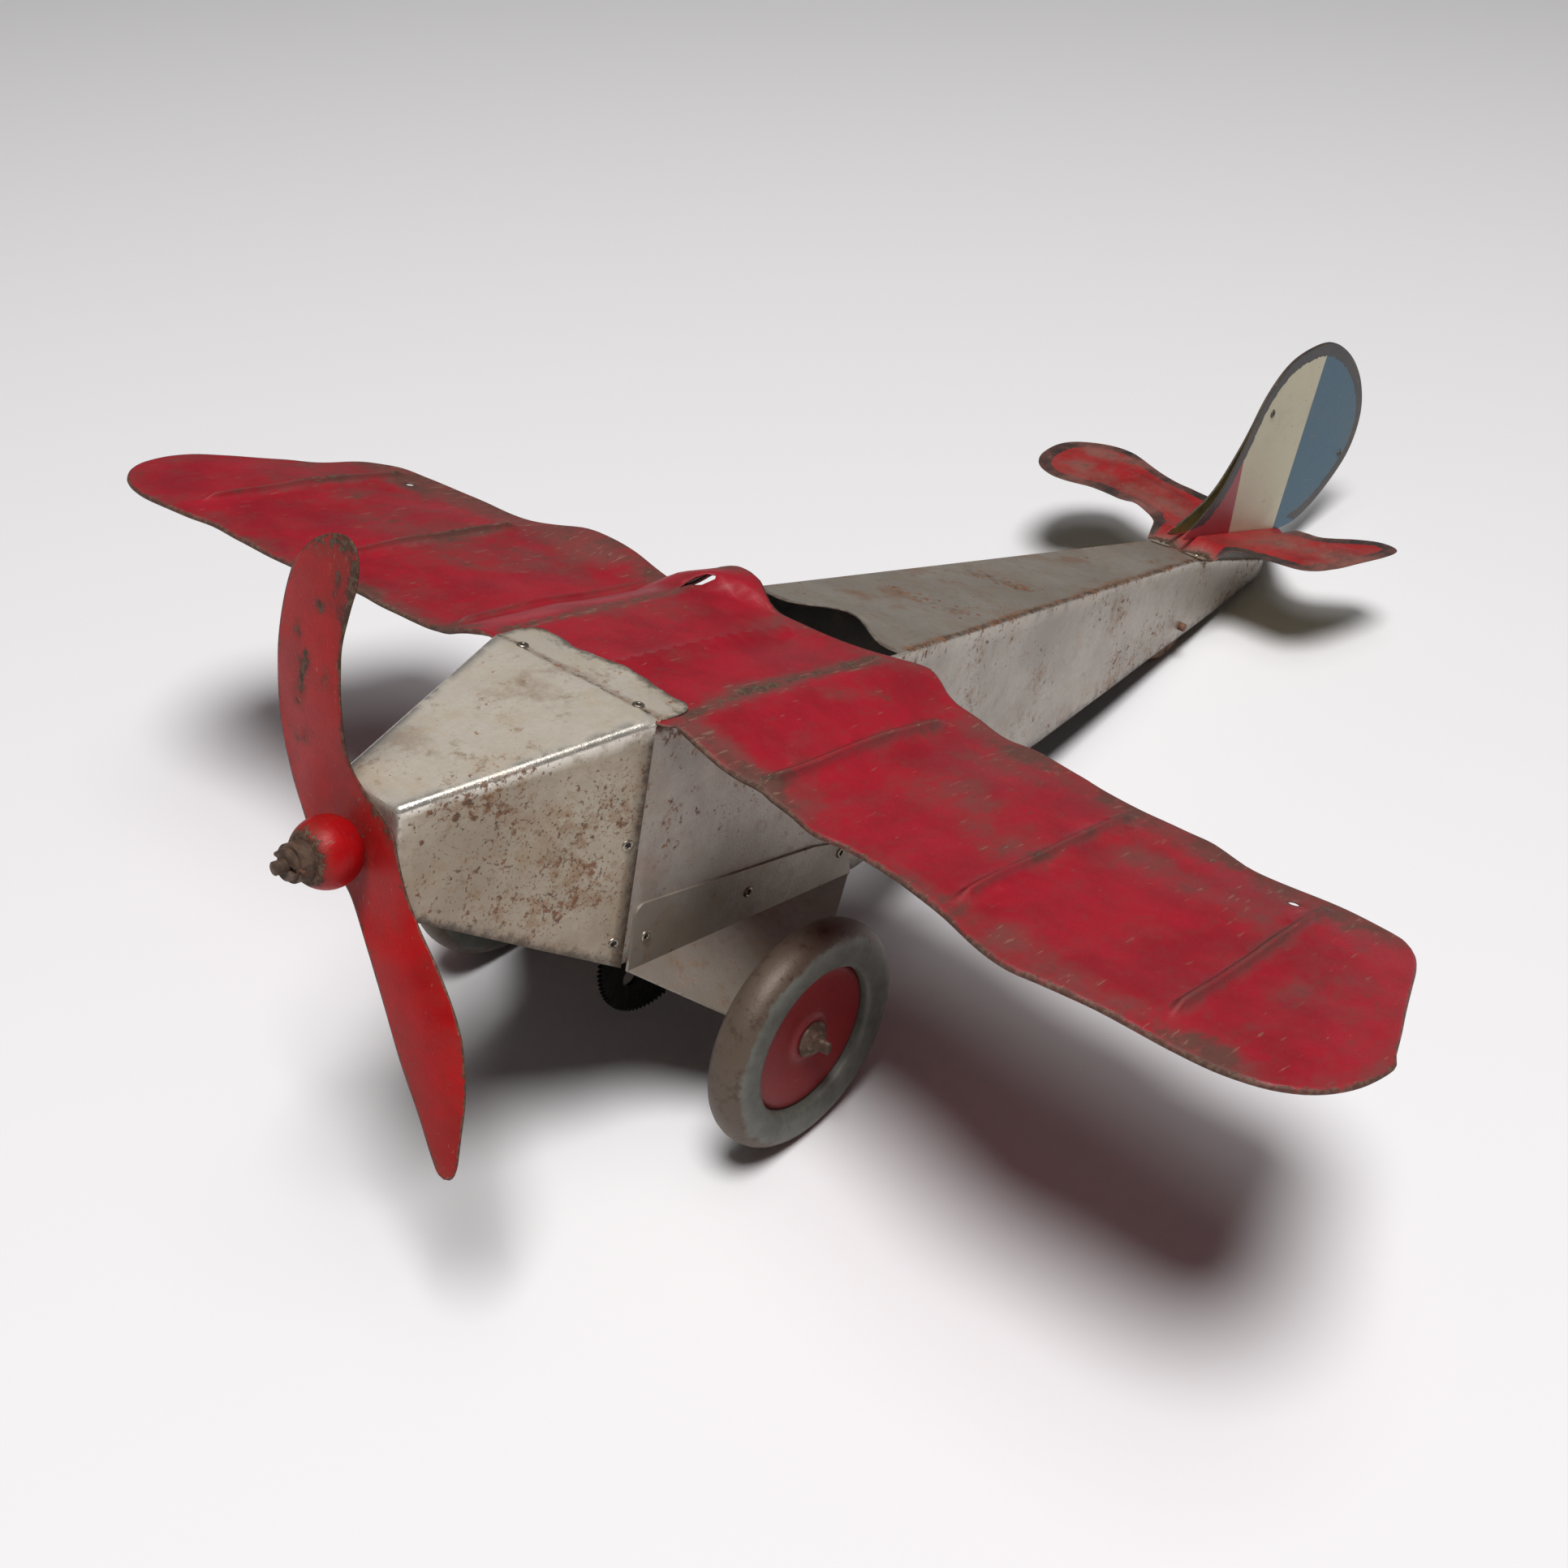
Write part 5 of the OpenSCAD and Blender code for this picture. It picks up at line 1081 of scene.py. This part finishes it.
starboardEdge = [
    (-0.3, 268), (-5, 265), (-10, 265.5), (-13, 268.5), (-15, 273), (-17.5, 279), (-22, 283.6),
    (-27.2, 286), (-32.2, 286.4), (-36.5, 284.8), (-43.2, 284), (-50, 282.4), (-57.4, 277.7),
    (-63.4, 276.3), (-69.9, 278.9), (-74.4, 284.2), (-77.7, 292.1), (-79, 302.8), (-77.2, 312.2),
    (-71.8, 320.4), (-65.3, 325.8), (-58.5, 328), (-52.7, 327), (-46.3, 324.7), (-39.2, 322.5),
    (-31.5, 321.6), (-24, 324), (-15, 332.5), (-7, 343), (-0.3, 352), (-0.3, 330), (-0.3, 300)]
portEdge = [
    (0.3, 268), (5, 264.5), (10, 264.5), (13, 267.5), (14, 272), (15.5, 276), (19, 279),
    (23.8, 279.9), (29.4, 279.6), (36.4, 278.4), (42.6, 278.6), (47.4, 281.8), (51.8, 288.3),
    (54.7, 295.4), (57, 303.5), (59, 311.6), (60, 318.5), (59.3, 323), (56, 326), (50, 327),
    (43.2, 323.4), (36.3, 319), (30.4, 317.2), (23.4, 320.5), (15, 331), (7, 342.5), (0.3, 351),
    (0.3, 330), (0.3, 300)]


def tailRibs(a, y):
    (inner, outer), run = tail["ribs"], tail["ribRun"]
    ends = ease((a - inner) / run) * ease((outer - a) / run)
    return ends * max(bump((y - at) / tail["ribWidth"]) for at in tail["ribPlaces"])


def stabiliserHeight(x, y):
    a = abs(x)
    level = tail["levelZ"] + tail["levelRise"] * (y - tail["levelY"])
    level += tail["dihedral"] * max(0, a - tail["levelOut"])
    share = ease((a - tail["foldEnd"]) / tail["levelOut"])
    z = lerp(tail["foldZ"] - tail["foldFall"] * y, level, share)
    z += tail["ribHeight"] * tailRibs(a, y)
    z += tail["wave"] * wavy(x / 17, y / 17, 4.4) * ease((a - 6) / 10)
    tab = ease((tail["tabBack"] - y) / 9) * ease((tail["tabOut"] - a) / 8)
    return lerp(z, bodyTop(y), tab)


# How far the fin's skin stands off the middle, most at its front foot
def finGape(y, z, side):
    above = z - tail["finFoot"]
    up = clamp(above / (tail["gapeSlant"] * tail["finHeight"]))
    back = max(0, 1 - (y - tail["finFront"] - tail["gapeSlant"] * above) / tail["gapeRun"])
    return tail["gape"][side] / 2 * min(1, back) ** 2.2 * (1 - up) ** 1.2


def makeTail(name, side, outline, node):
    bm = startMesh()
    thickness = tail["thickness"]

    def placeStabiliser(x, y, lift):
        return (x, y, stabiliserHeight(x, y) + thickness + lift)

    def placeFin(y, z, lift):
        return (side * (thickness + finGape(y, z, side) + lift), y, z)

    sheetFromOutline(bm, tail, finEdge, placeFin, flip=side < 0,
                     edgeShare=lambda y, z: ease((z - tail["foldZ"] + tail["foldFall"] * y) / 6))
    sheetFromOutline(bm, tail, outline, placeStabiliser, material=2,
                     crestAt=lambda x, y: 0.6 * tailRibs(abs(x), y),
                     scuffAt=partial(nearMarks, tail["scuffs"]),
                     edgeShare=lambda x, y: ease((abs(x) - 9) / 6))
    makeObject(name, bm, [enamels["fin"], tins["lacquer"], enamels["stabiliser"],
                          tins["lacquer"]], "airframe", [node], thickness, innerSlot=1)


makeTail("portTail", 1, portEdge, "port_tail_sheet")
makeTail("starboardTail", -1, starboardEdge, "starboard_tail_sheet")
print("tail made")


# wheels: a pressed rim with a flat side and a round tread, and a shallow painted disc
wheels = {
    "track": 57.5, "sides": 96, "treadFrom": 28.6, "treadFull": 30.2, "inner": 21.5, "ring": 6.4,
    "rim": [(4, 21.2), (5, 21.5), (5.5, 22.1), (5.75, 23.2), (5.9, 25), (5.95, 26.8), (5.85, 28.1),
    (5.5, 29.4), (4.9, 30.4), (4, 31.3), (2.8, 32), (1.4, 32.4), (0, 32.5)], "disc": [(1.2, 21.45),
    (2.1, 21.3), (2.75, 20.7), (3.05, 19.6), (3.1, 18.4), (2.95, 15.5), (2.7, 12), (2.45, 9),
    (2.35, 7.4), (2.6, 6.8), (3, 6.2), (3.2, 5.6), (3.2, 2.05)], "discBack": [(-2.4, 2.05),
    (-2.4, 6), (-0.6, 7.2), (-0.6, 19.5), (-1.6, 21.45)]}


# Rows of the two profiles, worn at the rim's inner edge and at the disc's edge and pressed ring
def wheelRows():
    run = wheels["treadFull"] - wheels["treadFrom"]
    half = [(x, r, closeness((r - 21) * 2.2), ease((r - wheels["treadFrom"]) / run))
            for x, r in wheels["rim"]]
    disc = [(x, r, max(closeness((wheels["inner"] - r) * 2),
                       closeness(abs(r - wheels["ring"]) * 3.5) * 0.8), 0)
            for x, r in wheels["disc"]]
    return (half + [(-x, *rest) for x, *rest in half[-2::-1]],
            disc + [(x, r, 0, 0) for x, r in wheels["discBack"]])


def makeWheels():
    rim, disc = wheelRows()
    for side, prefix in ((1, "port"), (-1, "starboard")):
        for name, rows, material, node in (("Rim", rim, rimTin, "_wheel_rim"),
                                           ("Disc", disc, enamels["disc"], "_wheel_disc")):
            bm = startMesh()
            profile = [(side * (wheels["track"] + x), *rest) for x, *rest in rows]
            revolve(bm, profile + profile[:1], (0, 0, 0), "x", wheels["sides"])
            makeObject(prefix + name, bm, [material], "road_axle", [prefix + node])


makeWheels()


# axle: a turned rod with a domed washer outside each wheel and a hammered flat at its end
axle = {
    "half": [(0, 2), (60.7, 2), (60.7, 5), (61, 5.2), (61.5, 5.15), (62, 4.6), (62.3, 3.5),
    (63.2, 3.3), (63.5, 2.9), (63.6, 2), (65.4, 1.95), (66.6, 1.9), (67, 1.5), (67, 0.05)],
    "flatFrom": 65, "flatShare": 0.42}


def makeAxle():
    bm = startMesh()
    half = axle["half"]
    revolve(bm, [(-x, r) for x, r in half[:0:-1]] + half[1:], (0, 0, 0), "x", 40)
    across = turned((0, 1 / mm, 0)).normalized()
    for v in bm.verts:
        if abs(v.co.x) > axle["flatFrom"] * mm:
            v.co -= across * (v.co - origin).dot(across) * axle["flatShare"]
    makeObject("axleAndWashers", bm, [metals["brown steel"]], "road_axle",
               ["road_axle", "hub_washers"])


makeAxle()
print("wheels made")


# eyelets: one rolled hollow rivet, set on every riveted place by a node tree
eyelet = {
    # Profile rows are (up, radius, darkening); the near-black in the hollow and at the flange's
    # foot is dirt and painted shade
    "profile": [(0.05, 0, 1), (0.05, 0.72, 1), (0.2, 0.7, 0.8), (0.36, 0.8, 0.2), (0.47, 1.02, 0),
    (0.42, 1.3, 0), (0.2, 1.54, 0), (0, 1.6, 0.3), (-0.3, 1.6, 0.6)], "sides": 28,
    "cowlSide": [(27.6, -44, 54.6), (27.6, -44, 27.3)], "cowlTurn": 16.7,
    "cowlTop": (20, -38.5, 87.05), "bracket": [(28.8, -33.8, 26.5), (28.8, 5.1, 26.5),
    (28.8, 44.6, 26.5)], "fin": [(0.5, 316.5, 118.8), (0.5, 392.3, 95.3)],
    "tailRoot": (7, 270, 72.1), "tailTurn": 10.1, "darkFrom": 290, "darkShare": 0.75}


# Every riveted place on one side, as a point and the way its flange faces
def eyeletPlaces():
    turn, lean = radians(eyelet["cowlTurn"]), radians(eyelet["tailTurn"])
    places = [(p, (cos(turn), -sin(turn), 0)) for p in eyelet["cowlSide"]]
    places += [(eyelet["cowlTop"], (0, 0.02, 1)),
               (eyelet["tailRoot"], (0, sin(lean), cos(lean)))]
    places += [(p, (1, 0, 0)) for p in eyelet["bracket"] + eyelet["fin"]]
    return places


def makeEyeletTree():
    tree = bpy.data.node_groups.new("eyelets at riveted places", "GeometryNodeTree")
    tree.interface.new_socket("Geometry", in_out="OUTPUT", socket_type="NodeSocketGeometry")
    tree.interface.new_socket("Places", in_out="INPUT", socket_type="NodeSocketGeometry")
    piece = tree.interface.new_socket("Eyelet", in_out="INPUT", socket_type="NodeSocketObject")
    places = addNode(tree, "NodeGroupInput", out="Places").node
    shape = addNode(tree, "GeometryNodeObjectInfo", {"Object": places.outputs["Eyelet"]},
                    out="Geometry")
    facing = addNode(tree, "GeometryNodeInputNamedAttribute", {"Name": "facing"},
                     out="Attribute", data_type="FLOAT_VECTOR")
    turn = addNode(tree, "FunctionNodeAlignRotationToVector", {"Vector": facing}, axis="Z")
    placed = addNode(tree, "GeometryNodeInstanceOnPoints",
                     {"Points": places.outputs["Places"], "Instance": shape, "Rotation": turn})
    solid = addNode(tree, "GeometryNodeRealizeInstances", {0: placed})
    coated = addNode(tree, "GeometryNodeSetMaterial", {"Geometry": solid,
                                                       "Material": metals["eyelet"]})
    feed(tree, tree.nodes.new("NodeGroupOutput"), {0: coated})
    return tree, piece.identifier


def makeEyelets():
    shape = bmesh.new()
    dark = shape.verts.layers.float.new("scuff")
    rings = []
    for up, radius, dirtAndShade in eyelet["profile"]:
        ring = []
        for a in turnSteps(eyelet["sides"]):
            v = shape.verts.new((radius * cos(a) * mm, radius * sin(a) * mm, up * mm))
            v[dark] = dirtAndShade
            ring.append(v)
        rings.append(ring)
    joinRows(shape, rings, closed=True)
    bmesh.ops.remove_doubles(shape, verts=shape.verts, dist=1e-7)
    bmesh.ops.recalc_face_normals(shape, faces=shape.faces)
    piece = addObject("eyeletPiece", toMesh(shape, "eyeletPiece"))
    places = [((side * p[0], p[1], p[2]), (side * n[0], n[1], n[2]))
              for side in (1, -1) for p, n in eyeletPlaces()]
    points = bpy.data.meshes.new("eyeletPlaces")
    points.from_pydata([toRow(p) for p, _ in places], [], [])
    facing = points.attributes.new("facing", "FLOAT_VECTOR", "POINT")
    for i, (_, n) in enumerate(places):
        facing.data[i].vector = turned(n)
    holder = addObject("eyeletPlaces", points)
    tree, identifier = makeEyeletTree()
    modifier = holder.modifiers.new("eyelets", "NODES")
    modifier.node_group = tree
    modifier[identifier] = piece
    depsgraph = bpy.context.evaluated_depsgraph_get()
    mesh = bpy.data.meshes.new_from_object(holder.evaluated_get(depsgraph))
    for obj in (holder, piece):
        bpy.data.objects.remove(obj)
    mesh.name = "eyelets"
    for v, dirtAndShade in zip(mesh.vertices, mesh.attributes["scuff"].data):
        if v.co.y > origin.y + eyelet["darkFrom"] * mm:
            dirtAndShade.value = max(dirtAndShade.value, eyelet["darkShare"])
    obj = addObject("eyelets", mesh)
    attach(obj, "airframe")
    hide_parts("cowl_eyelets", "bracket_eyelets", "fin_eyelets", "tail_root_eyelets")


makeEyelets()
print("eyelets made")
